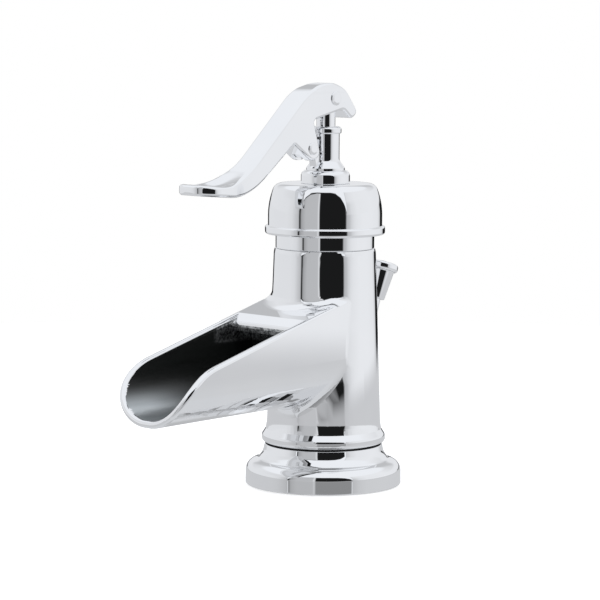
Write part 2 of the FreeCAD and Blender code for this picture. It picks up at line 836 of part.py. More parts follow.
def drill_across(body, y, z, radius, half_length):
    """A round hole along X at a point of the side plane."""
    hole = new_sketch(body, "YZ_Plane")
    add_circle(hole, y, z, radius)
    extrude(body, "Pocket", hole, half_length * 2, symmetric=True)


def make_lever_pin():
    half = d.lever_pin_half_length
    radius = d.lever_pin_radius
    corners = [(ZERO, -half), (radius, -half), (radius, half), (ZERO, half)]
    return turned("lever_pin", corners, (ZERO, ZERO, pivot_height), FreeCAD.Vector(0, 1, 0), quarter_turn())


def quarter_turn():
    """A right angle."""
    return as_size(90)


def make_lever_stem():
    """The rocking stem: a square shank above, and a neck with a ball end below."""
    body = new_body("lever_stem")
    half = d.stem_half_width
    foot = pivot_height - d.stem_foot_drop
    square = [(-half, -half), (half, -half), (half, half), (-half, half)]
    extrude(body, "Pad", outline(body, "XY_Plane", square, foot), stem_top - foot)
    ball = pivot_height - d.stem_ball_drop
    neck = d.stem_neck_radius
    spin(body, "Revolution", [(ZERO, ball), (neck, ball), (neck, foot + half), (ZERO, foot + half)])
    sphere = rounded_form(body, "AdditiveSphere", (ZERO, ZERO, ball))
    sphere.setExpression("Radius", d.stem_ball_radius.text)
    drill_across(body, ZERO, pivot_height, d.lever_pin_radius + d.running_gap, half + d.cut_overrun)
    return body


def make_handle_dome():
    """The cap over the cartridge, with a socketed boss for the stem and a tapped hole for the stud."""
    inner = d.dome_radius - d.dome_wall
    ceiling = dome_top - d.dome_wall
    ring_top = dome_ring_bottom + d.dome_ring_height
    body = turned("handle_dome", [
        (d.dome_ring_inner_radius, dome_ring_bottom),
        (d.dome_ring_radius, dome_ring_bottom, d.dome_ring_round),
        (d.dome_ring_radius, ring_top, d.dome_ring_round / 2),
        (d.dome_radius, ring_top),
        (d.dome_radius, dome_top, d.dome_shoulder_round),
        (ZERO, dome_top),
        (ZERO, dome_boss_bottom),
        (d.dome_boss_radius, dome_boss_bottom),
        (d.dome_boss_radius, ceiling),
        (inner, ceiling, d.dome_shoulder_round - d.dome_wall),
        (inner, ring_top),
        (d.dome_ring_inner_radius, ring_top - d.dome_ring_round),
    ])
    half = d.stem_half_width + d.seat_gap
    square = [(-half, -half), (half, -half), (half, half), (-half, half)]
    depth = stem_top - dome_boss_bottom
    extrude(body, "Pocket", outline(body, "XY_Plane", square, dome_boss_bottom), depth, reverse=True)
    stud = new_sketch(body, "XY_Plane", dome_top - d.stud_bottom_length)
    add_circle(stud, ZERO, ZERO, d.stud_radius + d.seat_gap)
    extrude(body, "Pocket", stud, d.stud_bottom_length, reverse=True)
    grub = new_sketch(body, "XZ_Plane")
    add_circle(grub, ZERO, grub_height, d.grub_radius + d.seat_gap)
    extrude(body, "Pocket", grub, d.dome_radius + d.cut_overrun)
    return body


def make_grub_screw():
    start = d.stem_half_width + d.seat_gap
    corners = [(ZERO, start), (d.grub_radius, start), (d.grub_radius, d.dome_boss_radius), (ZERO, d.dome_boss_radius)]
    base = (ZERO, ZERO, grub_height)
    return turned("handle_grub_screw", corners, base, FreeCAD.Vector(-1, 0, 0), quarter_turn())


def make_handle_plinth():
    bore = d.stud_radius + d.seat_gap
    return turned("handle_plinth", [
        (bore, dome_top),
        (d.plinth_radius, dome_top),
        (d.plinth_radius, plinth_top, d.plinth_round),
        (bore, plinth_top),
    ])


def make_post_stud():
    bottom = dome_top - d.stud_bottom_length
    top = plinth_top + d.stud_top_length
    return turned("post_stud", [(ZERO, bottom), (d.stud_radius, bottom), (d.stud_radius, top), (ZERO, top)])


def make_pump_post():
    """The flared collar, post and bead, with the arm that reaches forward to the lower pin."""
    collar_top = plinth_top + d.collar_height
    bead_low = post_top - d.post_bead_height
    stud_bore = d.stud_radius + d.seat_gap
    rod_bore = d.rod_radius + d.seat_gap
    stud_top = plinth_top + d.stud_top_length
    body = turned("pump_post", [
        (stud_bore, plinth_top),
        (d.collar_radius, plinth_top),
        (d.collar_radius, plinth_top + d.collar_edge),
        (d.post_radius, collar_top, d.collar_cove),
        (d.post_radius, bead_low),
        (d.post_bead_radius, bead_low, d.post_bead_round / 2),
        (d.post_bead_radius, post_top, d.post_bead_round),
        (rod_bore, post_top),
        (rod_bore, rod_foot),
        (ZERO, rod_foot),
        (ZERO, stud_top),
        (stud_bore, stud_top),
    ])
    eye = d.lobe_radius - d.moving_gap
    root = (d.post_radius + rod_bore) / 2
    base = plinth_top + d.collar_edge / 2
    arm = [
        (-root, base),
        (-d.arm_foot_forward, base),
        (-d.arm_chin_forward, base + d.arm_chin_rise),
        (-d.lower_pin_forward - eye, lower_pin_height - eye, eye * 0.9),
        (-d.lower_pin_forward - eye, lower_pin_height + eye, eye * 0.9),
        (-d.lower_pin_forward + eye, lower_pin_height + eye, eye * 0.9),
        (-root, base + d.arm_root_height),
    ]
    extrude(body, "Pad", outline(body, "YZ_Plane", arm), d.arm_half_width * 2, symmetric=True)
    drill_across(body, -d.lower_pin_forward, lower_pin_height, d.lower_pin_radius + d.seat_gap, d.lever_half_width)
    return body


def make_pump_rod():
    top = upper_pin_height + d.rod_radius
    body = turned("pump_rod", [
        (ZERO, rod_foot),
        (d.rod_radius, rod_foot),
        (d.rod_radius, top, d.rod_radius * 0.8),
        (ZERO, top),
    ])
    drill_across(body, ZERO, upper_pin_height, d.upper_pin_radius + d.seat_gap, d.lever_half_width)
    return body


def lever_corners():
    """The lever's side outline, from the spoon's tip along the underside to the head and back along the top."""
    reach, drop, crown = d.lever_reach, d.lever_drop, d.lever_crown
    ahead, down = d.lower_pin_forward, d.lower_pin_drop
    pin = upper_pin_height
    tip, elbow, notch = LEVER_TIP_SHARES, LEVER_ELBOW_SHARES, LEVER_NOTCH_SHARES
    lobe, throat, palate = LEVER_LOBE_SHARES, LEVER_THROAT_SHARES, LEVER_PALATE_SHARES
    hook, top = LEVER_HOOK_SHARES, LEVER_CROWN_SHARES
    return [
        (-reach, pin - drop * tip["low"], reach * tip["round"]),
        (-reach * elbow["low"], pin - drop, reach * elbow["low_round"]),
        (-ahead * notch["forward"], pin - down * notch["drop"], ahead * notch["round"]),
        (
            d.lobe_radius * lobe["back"] - d.lower_pin_forward,
            lower_pin_height - d.lobe_radius * lobe["down"],
            d.lobe_radius,
        ),
        (-ahead * throat["forward"], pin - down * throat["drop"], ahead * throat["round"]),
        (ahead * palate["back"], pin - down * palate["drop"], ahead * palate["round"]),
        (ahead * hook["low_back"], pin - down * hook["low_drop"], ahead * hook["round"]),
        (ahead * hook["back"], pin - down * hook["drop"], ahead * hook["round"]),
        (ahead * top["back"], pin + crown, ahead * top["back_round"]),
        (-ahead * top["front"], pin + crown, ahead * top["front_round"]),
        (-reach * elbow["high_reach"], pin - drop * elbow["high_drop"], reach * elbow["high_round"]),
        (-reach, pin - drop * tip["high"], reach * tip["round"]),
    ]


def spoon_side(side):
    """What is cut away beside the lever, seen from above, so that it widens into the spoon."""
    plan = SPOON_PLAN_SHARES
    reach = d.lever_reach
    outside = side * (d.spoon_half_width + d.cut_overrun)
    back = d.lever_reach / 2
    return [
        (side * d.lever_half_width, back),
        (side * d.lever_half_width, -reach * plan["start"], reach * plan["start_round"]),
        (side * d.spoon_half_width, -reach * plan["full"], reach * plan["full_round"]),
        (side * d.spoon_half_width, -reach, d.spoon_end_round),
        (ZERO, -reach),
        (ZERO, -reach - d.cut_overrun),
        (outside, -reach - d.cut_overrun),
        (outside, back),
    ]


def dish_spoon(body):
    """The shallow hollow in the spoon's top, square to its slope."""
    tip, elbow = LEVER_TIP_SHARES, LEVER_ELBOW_SHARES
    run = d.lever_reach * (1 - elbow["high_reach"])
    rise = d.lever_drop * (elbow["high_drop"] - tip["high"])
    forward = d.lever_reach * SPOON_PLAN_SHARES["dish"]
    surface = upper_pin_height - d.lever_drop * tip["high"] - rise / run * (d.lever_reach - forward)
    centre = (ZERO, -forward, surface + d.spoon_dish_radius - d.spoon_dish_depth)
    tilt = Size(f"(-1 * atan({(rise / run).text}))", -math.degrees(math.atan((rise / run).value)))
    dish = rounded_form(body, "SubtractiveEllipsoid", centre, tilt)
    dish.setExpression("Radius1", d.spoon_dish_radius.text)
    dish.setExpression("Radius2", (d.spoon_half_width * SPOON_DISH_SHARES["across"]).text)
    dish.setExpression("Radius3", (d.spoon_half_width * SPOON_DISH_SHARES["along"]).text)


def make_pump_lever():
    """The cast lever: side outline, spoon plan, slots for the rod and the arm, and the two pin holes."""
    body = new_body("pump_lever")
    extrude(body, "Pad", outline(body, "YZ_Plane", lever_corners()), d.spoon_half_width * 2, symmetric=True)
    low = upper_pin_height - d.lever_drop * 2
    for side in (1, -1):
        plan = outline(body, "XY_Plane", spoon_side(side), low)
        extrude(body, "Pocket", plan, d.lever_drop * 3, reverse=True)
    dish_spoon(body)
    rod_side = d.rod_radius + d.moving_gap
    rod_slot_top = upper_pin_height + d.rod_radius + d.moving_gap
    rod_slot = [(-rod_side, rod_slot_top), (-rod_side, rod_foot), (rod_side, rod_foot), (rod_side, rod_slot_top)]
    extrude(body, "Pocket", outline(body, "YZ_Plane", rod_slot), lever_slot_half_width * 2, symmetric=True)
    room = d.lobe_radius + d.moving_gap
    ahead = -d.lower_pin_forward - room
    behind = -d.rod_radius
    arm_slot = [
        (ahead, lower_pin_height + room),
        (ahead, lower_pin_height - room * 2),
        (behind, lower_pin_height - room * 2),
        (behind, lower_pin_height + room),
    ]
    width = (d.arm_half_width + d.moving_gap) * 2
    extrude(body, "Pocket", outline(body, "YZ_Plane", arm_slot), width, symmetric=True)
    drill_across(body, ZERO, upper_pin_height, d.upper_pin_radius + d.seat_gap, d.spoon_half_width)
    drill_across(body, -d.lower_pin_forward, lower_pin_height, d.lower_pin_radius + d.seat_gap, d.spoon_half_width)
    return body


def make_pivot_pin(label, y, z, radius, head_radius):
    """A pin riveted over on both cheeks of the lever."""
    cheek = d.lever_half_width
    end = cheek + d.pin_head_height
    corners = [
        (ZERO, -end),
        (head_radius, -end, d.pin_head_round),
        (head_radius, -cheek),
        (radius, -cheek),
        (radius, cheek),
        (head_radius, cheek),
        (head_radius, end, d.pin_head_round),
        (ZERO, end),
    ]
    return turned(label, corners, (ZERO, y, z), FreeCAD.Vector(0, 1, 0), quarter_turn())


def lift_turned(label, corners):
    """A piece turned about the lift rod's inclined axis; heights are measured along it from the deck."""
    base = (ZERO, d.lift_deck_offset, ZERO)
    return turned(label, corners, base, FreeCAD.Vector(-1, 0, 0), d.lift_tilt)


def make_lift_rod():
    top = d.knob_height + d.knob_socket_depth
    bottom = -d.lift_rod_below
    step = bottom + d.lift_end_length
    return lift_turned("lift_rod", [
        (ZERO, bottom),
        (d.lift_end_radius, bottom),
        (d.lift_end_radius, step),
        (d.lift_rod_radius, step),
        (d.lift_rod_radius, top),
        (ZERO, top),
    ])


def make_lift_knob():
    socket = d.lift_rod_radius + d.seat_gap
    neck = d.knob_height + d.knob_neck_height
    top = neck + d.knob_flange_height
    return lift_turned("lift_knob", [
        (socket, d.knob_height),
        (d.knob_foot_radius, d.knob_height),
        (d.knob_neck_radius, neck),
        (d.knob_flange_radius, neck, d.knob_flange_round),
        (d.knob_flange_radius, top, d.knob_flange_round),
        (ZERO, top + d.knob_crown),
        (ZERO, d.knob_height + d.knob_socket_depth),
        (socket, d.knob_height + d.knob_socket_depth),
    ])


def make_rod_guide_bush():
    inner = d.lift_rod_radius + d.running_gap
    top = d.bush_bottom + d.bush_length
    corners = [(inner, d.bush_bottom), (d.bush_radius, d.bush_bottom), (d.bush_radius, top), (inner, top)]
    return lift_turned("rod_guide_bush", corners)


def make_rod_seal():
    inner = d.lift_rod_radius + d.running_gap
    bottom = d.bush_bottom + d.bush_length
    top = bottom + d.rod_seal_height
    corners = [(inner, bottom), (d.bush_radius, bottom), (d.bush_radius, top), (inner, top)]
    return lift_turned("rod_seal", corners)


def make_mounting_shank():
    return ring("mounting_shank", d.shank_bore_radius, d.shank_radius, -d.shank_below, d.shank_top)


def make_deck_washer():
    inner = d.shank_radius + d.moving_gap
    top = -d.deck_thickness
    return ring("deck_washer", inner, d.washer_radius, top - d.deck_washer_height, top)


def make_clamp_washer():
    inner = d.shank_radius + d.moving_gap
    top = -d.deck_thickness - d.deck_washer_height
    return ring("clamp_washer", inner, d.washer_radius, top - d.clamp_washer_height, top)


def make_mounting_nut():
    """A hexagon nut with its corners turned off."""
    body = new_body("mounting_nut")
    top = -d.deck_thickness - d.deck_washer_height - d.clamp_washer_height
    bottom = top - d.nut_height
    sides = 6
    corner = d.nut_flat_radius / turn_of(math.cos, as_size(180 / sides))
    hexagon = []
    for i in range(sides):
        angle = as_size(360 / sides * i)
        hexagon.append((corner * turn_of(math.cos, angle), corner * turn_of(math.sin, angle)))
    extrude(body, "Pad", outline(body, "XY_Plane", hexagon, bottom), d.nut_height)
    bore = new_sketch(body, "XY_Plane", bottom)
    add_circle(bore, ZERO, ZERO, d.shank_radius + d.seat_gap)
    extrude(body, "Pocket", bore, d.nut_height, reverse=True)
    for face, inward in ((bottom, d.nut_edge_width), (top, -d.nut_edge_width)):
        spin(body, "Groove", [(d.nut_flat_radius, face), (corner + d.nut_edge_width, face), (corner + d.nut_edge_width, face + inward)])
    return body


def make_supply_tube(label, side):
    x = side * d.inlet_offset
    top = d.foot_cavity_height + d.inlet_socket_depth
    inner = d.supply_radius - d.supply_wall
    bottom = -d.supply_below
    bead = bottom + d.supply_end_length
    bead_top = bead + d.supply_bead_height
    corners = [
        (inner, bottom),
        (d.supply_radius, bottom),
        (d.supply_radius, bead),
        (d.supply_bead_radius, bead),
        (d.supply_bead_radius, bead_top),
        (d.supply_radius, bead_top),
        (d.supply_radius, top),
        (inner, top),
    ]
    body = new_body(label, (x, -d.inlet_setback, ZERO))
    spin(body, "Revolution", corners)
    return body


PIECES = [
    make_base_flange(),
    make_base_gasket(),
    make_valve_body(),
    make_bonnet_nut(),
    make_clamp_ring(),
    make_cartridge_seals(),
    make_cartridge_base(),
    make_fixed_disc(),
    make_moving_disc(),
    make_disc_carrier(),
    make_cartridge_shell(),
    make_cartridge_rotor(),
    make_lever_pin(),
    make_lever_stem(),
    make_handle_dome(),
    make_grub_screw(),
    make_handle_plinth(),
    make_post_stud(),
    make_pump_post(),
    make_pump_rod(),
    make_pump_lever(),
    make_pivot_pin("upper_pivot_pin", ZERO, upper_pin_height, d.upper_pin_radius, d.upper_pin_head_radius),
    make_pivot_pin(
        "lower_pivot_pin", -d.lower_pin_forward, lower_pin_height, d.lower_pin_radius, d.lower_pin_head_radius
    ),
    make_lift_rod(),
    make_lift_knob(),
    make_rod_guide_bush(),
    make_rod_seal(),
    make_mounting_shank(),
    make_deck_washer(),
    make_clamp_washer(),
    make_mounting_nut(),
    make_supply_tube("hot_supply_tube", -1),
    make_supply_tube("cold_supply_tube", 1),
]

doc.recompute()
for item in doc.Objects:
    if "Invalid" in item.State or "Error" in item.State:
        raise RuntimeError(f"{item.Label} failed: {item.State}")
for piece in PIECES:
    if piece.Shape.isNull() or not piece.Shape.isValid():
        raise RuntimeError(f"{piece.Label} has no valid shape")

os.makedirs("parts", exist_ok=True)
for piece in PIECES:
    piece.Shape.exportStep(f"parts/{piece.Label}.step")
    print(piece.Label, len(piece.Shape.Solids), round(piece.Shape.Volume, 1))
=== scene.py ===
# %% [markdown]
# A basin faucet in polished chrome: a tapered column with an open trough spout, a domed handle that
# carries a pump lever, and a tilted lift knob behind. The solids come from the imported model, in metres,
# and stay where they are. This lesson gives the pieces that show their finished surfaces, and every
# piece its material. It starts by loading the solids.

# %% Load the solids
import json
import math

import bpy
from mathutils import Matrix, Vector


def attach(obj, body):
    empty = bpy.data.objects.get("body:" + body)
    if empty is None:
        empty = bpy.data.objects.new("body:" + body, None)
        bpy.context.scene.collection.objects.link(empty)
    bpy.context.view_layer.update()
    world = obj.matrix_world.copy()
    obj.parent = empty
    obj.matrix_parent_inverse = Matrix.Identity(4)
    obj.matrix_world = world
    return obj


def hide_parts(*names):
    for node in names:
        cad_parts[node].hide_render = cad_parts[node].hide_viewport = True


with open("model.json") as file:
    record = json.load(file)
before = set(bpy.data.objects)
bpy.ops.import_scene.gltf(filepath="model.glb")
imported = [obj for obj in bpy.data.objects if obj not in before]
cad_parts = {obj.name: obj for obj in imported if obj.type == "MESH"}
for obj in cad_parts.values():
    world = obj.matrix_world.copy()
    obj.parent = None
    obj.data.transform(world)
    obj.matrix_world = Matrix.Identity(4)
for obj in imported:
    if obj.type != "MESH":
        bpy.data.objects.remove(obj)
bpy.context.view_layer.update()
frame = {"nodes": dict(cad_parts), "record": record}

nodes = frame["nodes"]
scene = bpy.context.scene
scene.view_settings.view_transform = "Standard"

# %% [markdown]
# The camera comes first, because every later choice is judged through it. On a faucet the ellipses of
# the base, the bead, the neck and the dome all tell the same story: how far they open gives the height
# of the eye, and how that changes from the base to the dome gives the distance. The spout's direction
# gives the turn. The column stands right of the middle of the picture, so the lens is shifted instead of
# turned, which keeps the column upright, and the whole picture leans by half a degree, so the camera is
# rolled a little.

# %% Camera
CAMERA_TURN = math.radians(44)
CAMERA_DISTANCE = 1.188
CAMERA_HEIGHT = 0.2121
CAMERA_PITCH = math.radians(6.27)
CAMERA_ROLL = math.radians(0.458)
CAMERA_LENS = 162
CAMERA_SENSOR = 36
CAMERA_SHIFT = -24.45 / 600

camera = bpy.data.objects.new("camera", bpy.data.cameras.new("camera"))
scene.collection.objects.link(camera)
camera.location = (
    math.sin(CAMERA_TURN) * CAMERA_DISTANCE, -math.cos(CAMERA_TURN) * CAMERA_DISTANCE, CAMERA_HEIGHT,
)
turn = Matrix.Rotation(CAMERA_TURN, 4, "Z")
tip = Matrix.Rotation(math.radians(90) - CAMERA_PITCH, 4, "X")
lean = Matrix.Rotation(CAMERA_ROLL, 4, "Z")
camera.rotation_euler = (turn @ tip @ lean).to_euler()
camera.data.lens = CAMERA_LENS
camera.data.sensor_width = CAMERA_SENSOR
camera.data.shift_x = CAMERA_SHIFT
scene.camera = camera
print("camera at", [round(v, 3) for v in camera.location])

# %% [markdown]
# Chrome has no colour of its own: what one sees on it is the room. A product photographer therefore
# builds a room for it, a tent of white cloth with one opening in front. Here the world is that tent. A
# ring of colours is written as compass degrees from the camera, right of it positive: the opening in
# front is grey on its left half and black on its right half, with a bright line where they meet, and
# the low back is black, which draws a thin line along every upright outline. A second ring, at eye level,
# has a white back, a third one higher up is in shade behind, and the top is white. A ring of lamps could
# do the same, but a painted world has no noise and no lamp shapes in the reflections.

# %% Helpers for node trees
def add_node(tree, kind, **values):
    """Add a node and set its sockets by name."""
    node = tree.nodes.new(kind)
    for name, value in values.items():
        node.inputs[name.replace("_", " ")].default_value = value
    return node


def colour_ramp(tree, stops):
    """Add a colour ramp from (place, colour) stops."""
    node = tree.nodes.new("ShaderNodeValToRGB")
    elements = node.color_ramp.elements
    while len(elements) > 1:
        elements.remove(elements[-1])
    elements[0].position = stops[0][0]
    elements[0].color = (*stops[0][1], 1)
    for position, colour in stops[1:]:
        element = elements.new(position)
        element.color = (*colour, 1)
    return node


def calculate(tree, operation, first, second=0.0):
    """A math node on sockets or numbers."""
    node = tree.nodes.new("ShaderNodeMath")
    node.operation = operation
    for socket, source in zip(node.inputs, (first, second)):
        if isinstance(source, (int, float)):
            socket.default_value = source
        else:
            tree.links.new(source, socket)
    return node.outputs["Value"]


def soft_step(tree, value, low, high):
    """A mask that goes smoothly from 0 at low to 1 at high."""
    step = tree.nodes.new("ShaderNodeMapRange")
    step.interpolation_type = "SMOOTHSTEP"
    step.inputs["From Min"].default_value = low
    step.inputs["From Max"].default_value = high
    tree.links.new(value, step.inputs["Value"])
    return step.outputs["Result"]


def mix_colours(tree, mask, first, second):
    """A mix of two colours or sockets by a mask socket."""
    node = tree.nodes.new("ShaderNodeMix")
    node.data_type = "RGBA"
    tree.links.new(mask, node.inputs["Factor"])
    for socket, source in ((node.inputs[6], first), (node.inputs[7], second)):
        if isinstance(source, tuple):
            socket.default_value = (*source, 1)
        else:
            tree.links.new(source, socket)
    return node.outputs[2]


print("node helpers ready")

# %% The tent's rings
BLACK = 0.011
OPENING = [
    (-51, 0.5), (-50, BLACK), (-47.5, BLACK), (-46, 0.34), (-42, 0.42), (-36, 0.5), (-11.5, 0.51),
    (-10.5, 0.78), (-9, 0.78), (-7.5, BLACK), (45.5, BLACK),
]
LOW_RING = [
    (-180, BLACK), (-154, BLACK), (-151, 0.77), (-137, 0.78), (-79, 0.77), (-67, 0.73), (-62, 0.66),
    (-57, 0.58), *OPENING, (48, 0.48), (53, 0.53), (58, 0.68), (64, 0.77), (71, 0.82), (86, 0.86),
    (111, 0.86), (135, 0.83), (147, 0.66), (150, BLACK), (180, BLACK),
]
EYE_RING = [
    (-180, 0.8), (-110, 0.8), (-79, 0.78), (-67, 0.73), (-57, 0.6), *OPENING, (48, 0.58), (53, 0.64),
    (58, 0.74), (71, 0.83), (110, 0.86), (180, 0.8),
]
HIGH_RING = [
    (-180, 0.52), (-165, 0.53), (-150, 0.72), (-125, 0.8), (-105, 0.79), (-57, 0.7), *OPENING,
    (48, 0.74), (58, 0.8), (71, 0.84), (110, 0.86), (152, 0.72), (168, 0.55), (180, 0.52),
]
print(len(LOW_RING), "stops low,", len(EYE_RING), "at eye level,", len(HIGH_RING), "high")

# %% Directions in degrees
world = bpy.data.worlds.new("white_tent")
scene.world = world
world.use_nodes = True
tree = world.node_tree
tree.nodes.clear()
OPENING_TURN = math.radians(3.4)
where = tree.nodes.new("ShaderNodeTexCoord")
to_camera = tree.nodes.new("ShaderNodeMapping")
to_camera.inputs["Rotation"].default_value[2] = math.radians(90) - CAMERA_TURN + OPENING_TURN
tree.links.new(where.outputs["Generated"], to_camera.inputs["Vector"])
around = tree.nodes.new("ShaderNodeTexGradient")
around.gradient_type = "RADIAL"
tree.links.new(to_camera.outputs["Vector"], around.inputs["Vector"])
split = tree.nodes.new("ShaderNodeSeparateXYZ")
tree.links.new(where.outputs["Generated"], split.inputs["Vector"])
above = calculate(tree, "MULTIPLY", calculate(tree, "ARCSINE", split.outputs["Z"]), math.degrees(1))
COLD = (0.983, 0.997, 1.025)
NEUTRAL = (1, 1, 1)


def paint_ring(stops, tint=COLD):
    """A ring of levels around the faucet, slightly cold as daylight through cloth is."""
    colours = [(0.5 + degrees / 360, [level * part for part in tint]) for degrees, level in stops]
    ring = colour_ramp(tree, colours)
    tree.links.new(around.outputs["Fac"], ring.inputs["Fac"])
    return ring.outputs["Color"]


print("directions ready")

# %% Paint the tent
EYE_LEVEL, HIGH_LEVEL, TOP_LEVEL = (0.5, 3), (15, 22), (32, 40)
walls = mix_colours(tree, soft_step(tree, above, *EYE_LEVEL), paint_ring(LOW_RING), paint_ring(EYE_RING))
walls = mix_colours(tree, soft_step(tree, above, *HIGH_LEVEL), walls, paint_ring(HIGH_RING))
print("walls painted")

# %% [markdown]
# The opening has rounded corners and a thin dark frame. Its top edge is an arch, so the height of that
# edge is one more ring, this time of degrees, and a direction is inside when it lies below it.

# %% Paint the arch and the top
ARCH = [
    (-54, 50), (-51.5, 4), (-47.5, 16), (-41, 27), (-31, 34), (-16, 37), (14, 37), (28, 34.5), (38, 28),
    (44.5, 17), (48, 4), (51, 50),
]
ARCH_SCALE = 50
FRONT = [(-53, 0), (-51, 1), (48, 1), (50, 0)]
FRAME_EDGE, ARCH_EDGE = (-2.4, -1.6), (-0.8, 0.8)
WHITE = (0.88, 0.9, 0.935)
arch = paint_ring([(degrees, top / ARCH_SCALE) for degrees, top in ARCH], NEUTRAL)
over_arch = calculate(tree, "SUBTRACT", above, calculate(tree, "MULTIPLY", arch, ARCH_SCALE))
front = paint_ring(FRONT, NEUTRAL)
frame_line = calculate(tree, "MULTIPLY", soft_step(tree, over_arch, *FRAME_EDGE), front)
framed = mix_colours(tree, frame_line, walls, (BLACK, BLACK, BLACK))
above_front = soft_step(tree, over_arch, *ARCH_EDGE)
top_mask = mix_colours(tree, front, soft_step(tree, above, *TOP_LEVEL), above_front)
tent = mix_colours(tree, top_mask, framed, WHITE)
print("arch and top painted")

# %% [markdown]
# The picture's own background is plain white. The world can show one thing to the camera and another to
# the surfaces, because the Light Path node tells which kind of ray asks. The camera gets white; the
# metal and the light on it get the tent.

# %% Show white to the camera
studio = tree.nodes.new("ShaderNodeBackground")
tree.links.new(tent, studio.inputs["Color"])
plain = add_node(tree, "ShaderNodeBackground", Color=(1, 1, 1, 1))
light_path = tree.nodes.new("ShaderNodeLightPath")
seen = tree.nodes.new("ShaderNodeMixShader")
tree.links.new(light_path.outputs["Is Camera Ray"], seen.inputs["Fac"])
tree.links.new(studio.outputs["Background"], seen.inputs[1])
tree.links.new(plain.outputs["Background"], seen.inputs[2])
world_output = tree.nodes.new("ShaderNodeOutputWorld")
tree.links.new(seen.outputs["Shader"], world_output.inputs["Surface"])
print("background is white")

# %% [markdown]
# The table under the faucet matters twice. The camera sees it as white, darker only where the base
# stands on it. The chrome sees it too: the foot of a column that leans back by two degrees mirrors the
# table in front of it. The table is a white sheet with a soft gloss, so it carries a pale second image of
# the opening, clearest close to the faucet, where the sheet is also a little darker, because the faucet
# stands in its own shade. It ends in a soft edge, because a sharp one would draw a line on the chrome. A
# disc is enough for it, inset once, so that its rim can be told from its middle.

# %% Table
TABLE_RADIUS = 0.62
TABLE_DROP = 0.0003
TABLE_RIM = 0.05
bpy.ops.object.select_all(action="DESELECT")
bpy.ops.mesh.primitive_circle_add(
    vertices=128, radius=TABLE_RADIUS, fill_type="NGON", location=(0, 0, -TABLE_DROP),
)
table = bpy.context.object
table.name = "table"
bpy.ops.object.mode_set(mode="EDIT")
bpy.ops.mesh.select_all(action="SELECT")
bpy.ops.mesh.inset(thickness=TABLE_RIM)
bpy.ops.object.mode_set(mode="OBJECT")
bpy.ops.object.transform_apply()
print("table of", len(table.data.polygons), "faces")

# %% Table as the chrome sees it
SHADE, PAPER = (0.465, 0.47, 0.48), (0.56, 0.565, 0.58)
SHADE_REACH = (0.05, 0.32)
SHEEN_START, SHEEN_END, SHEEN_NEAR, SHEEN_FAR = 0.08, 0.28, 0.45, 0.18
SHEET_ROUGHNESS = 0.03
SOFT_EDGE = 0.4
sheet = bpy.data.materials.new("table_sheet")
sheet.use_nodes = True
tree = sheet.node_tree
tree.nodes.clear()
where = tree.nodes.new("ShaderNodeTexCoord")
away = tree.nodes.new("ShaderNodeVectorMath")
away.operation = "LENGTH"
tree.links.new(where.outputs["Object"], away.inputs[0])
distance = away.outputs["Value"]
lit = tree.nodes.new("ShaderNodeEmission")
paper = mix_colours(tree, soft_step(tree, distance, *SHADE_REACH), SHADE, PAPER)
tree.links.new(paper, lit.inputs["Color"])
gloss = add_node(tree, "ShaderNodeBsdfGlossy", Color=(1, 1, 1, 1), Roughness=SHEET_ROUGHNESS)
sheen = tree.nodes.new("ShaderNodeMixShader")
shine = add_node(
    tree, "ShaderNodeMapRange",
    From_Min=SHEEN_START, From_Max=SHEEN_END, To_Min=SHEEN_NEAR, To_Max=SHEEN_FAR,
)
tree.links.new(distance, shine.inputs["Value"])
tree.links.new(shine.outputs["Result"], sheen.inputs["Fac"])
tree.links.new(lit.outputs["Emission"], sheen.inputs[1])
tree.links.new(gloss.outputs["BSDF"], sheen.inputs[2])
clear = tree.nodes.new("ShaderNodeBsdfTransparent")
edged = tree.nodes.new("ShaderNodeMixShader")
tree.links.new(soft_step(tree, distance, SOFT_EDGE, TABLE_RADIUS), edged.inputs["Fac"])
tree.links.new(sheen.outputs["Shader"], edged.inputs[1])
tree.links.new(clear.outputs["BSDF"], edged.inputs[2])
print("table painted for the chrome")

# %% Table as the camera sees it
SHEET_GLOW = 0.55
SHEET_COLOUR = (0.9, 0.9, 0.9, 1)
glow = add_node(tree, "ShaderNodeEmission", Color=(1, 1, 1, 1), Strength=SHEET_GLOW)
matt = add_node(tree, "ShaderNodeBsdfDiffuse", Color=SHEET_COLOUR)
for_camera = tree.nodes.new("ShaderNodeAddShader")
tree.links.new(glow.outputs["Emission"], for_camera.inputs[0])
tree.links.new(matt.outputs["BSDF"], for_camera.inputs[1])
light_path = tree.nodes.new("ShaderNodeLightPath")
pick = tree.nodes.new("ShaderNodeMixShader")
tree.links.new(light_path.outputs["Is Camera Ray"], pick.inputs["Fac"])
tree.links.new(edged.outputs["Shader"], pick.inputs[1])
tree.links.new(for_camera.outputs["Shader"], pick.inputs[2])
output = tree.nodes.new("ShaderNodeOutputMaterial")
tree.links.new(pick.outputs["Shader"], output.inputs["Surface"])
table.data.materials.append(sheet)
print("table finished")

# %% [markdown]
# Two effects return in many finishes: a slow change of gloss over a surface, left by polishing or
# handling, and a fine relief, left by casting, drawing or moulding. Each is a small node group that is
# built once. It reads Object coordinates, so it stays on the piece when the piece moves, and it puts out
# plain values, which every material then scales for itself.

# %% Group: change of gloss
def new_group(name, inputs, output):
    """An empty shader group with number inputs and one number output."""
    group = bpy.data.node_groups.new(name, "ShaderNodeTree")
    for label, value in inputs:
        socket = group.interface.new_socket(label, in_out="INPUT", socket_type="NodeSocketFloat")
        socket.default_value = value
    group.interface.new_socket(output, in_out="OUTPUT", socket_type="NodeSocketFloat")
    return group, group.nodes.new("NodeGroupInput"), group.nodes.new("NodeGroupOutput")


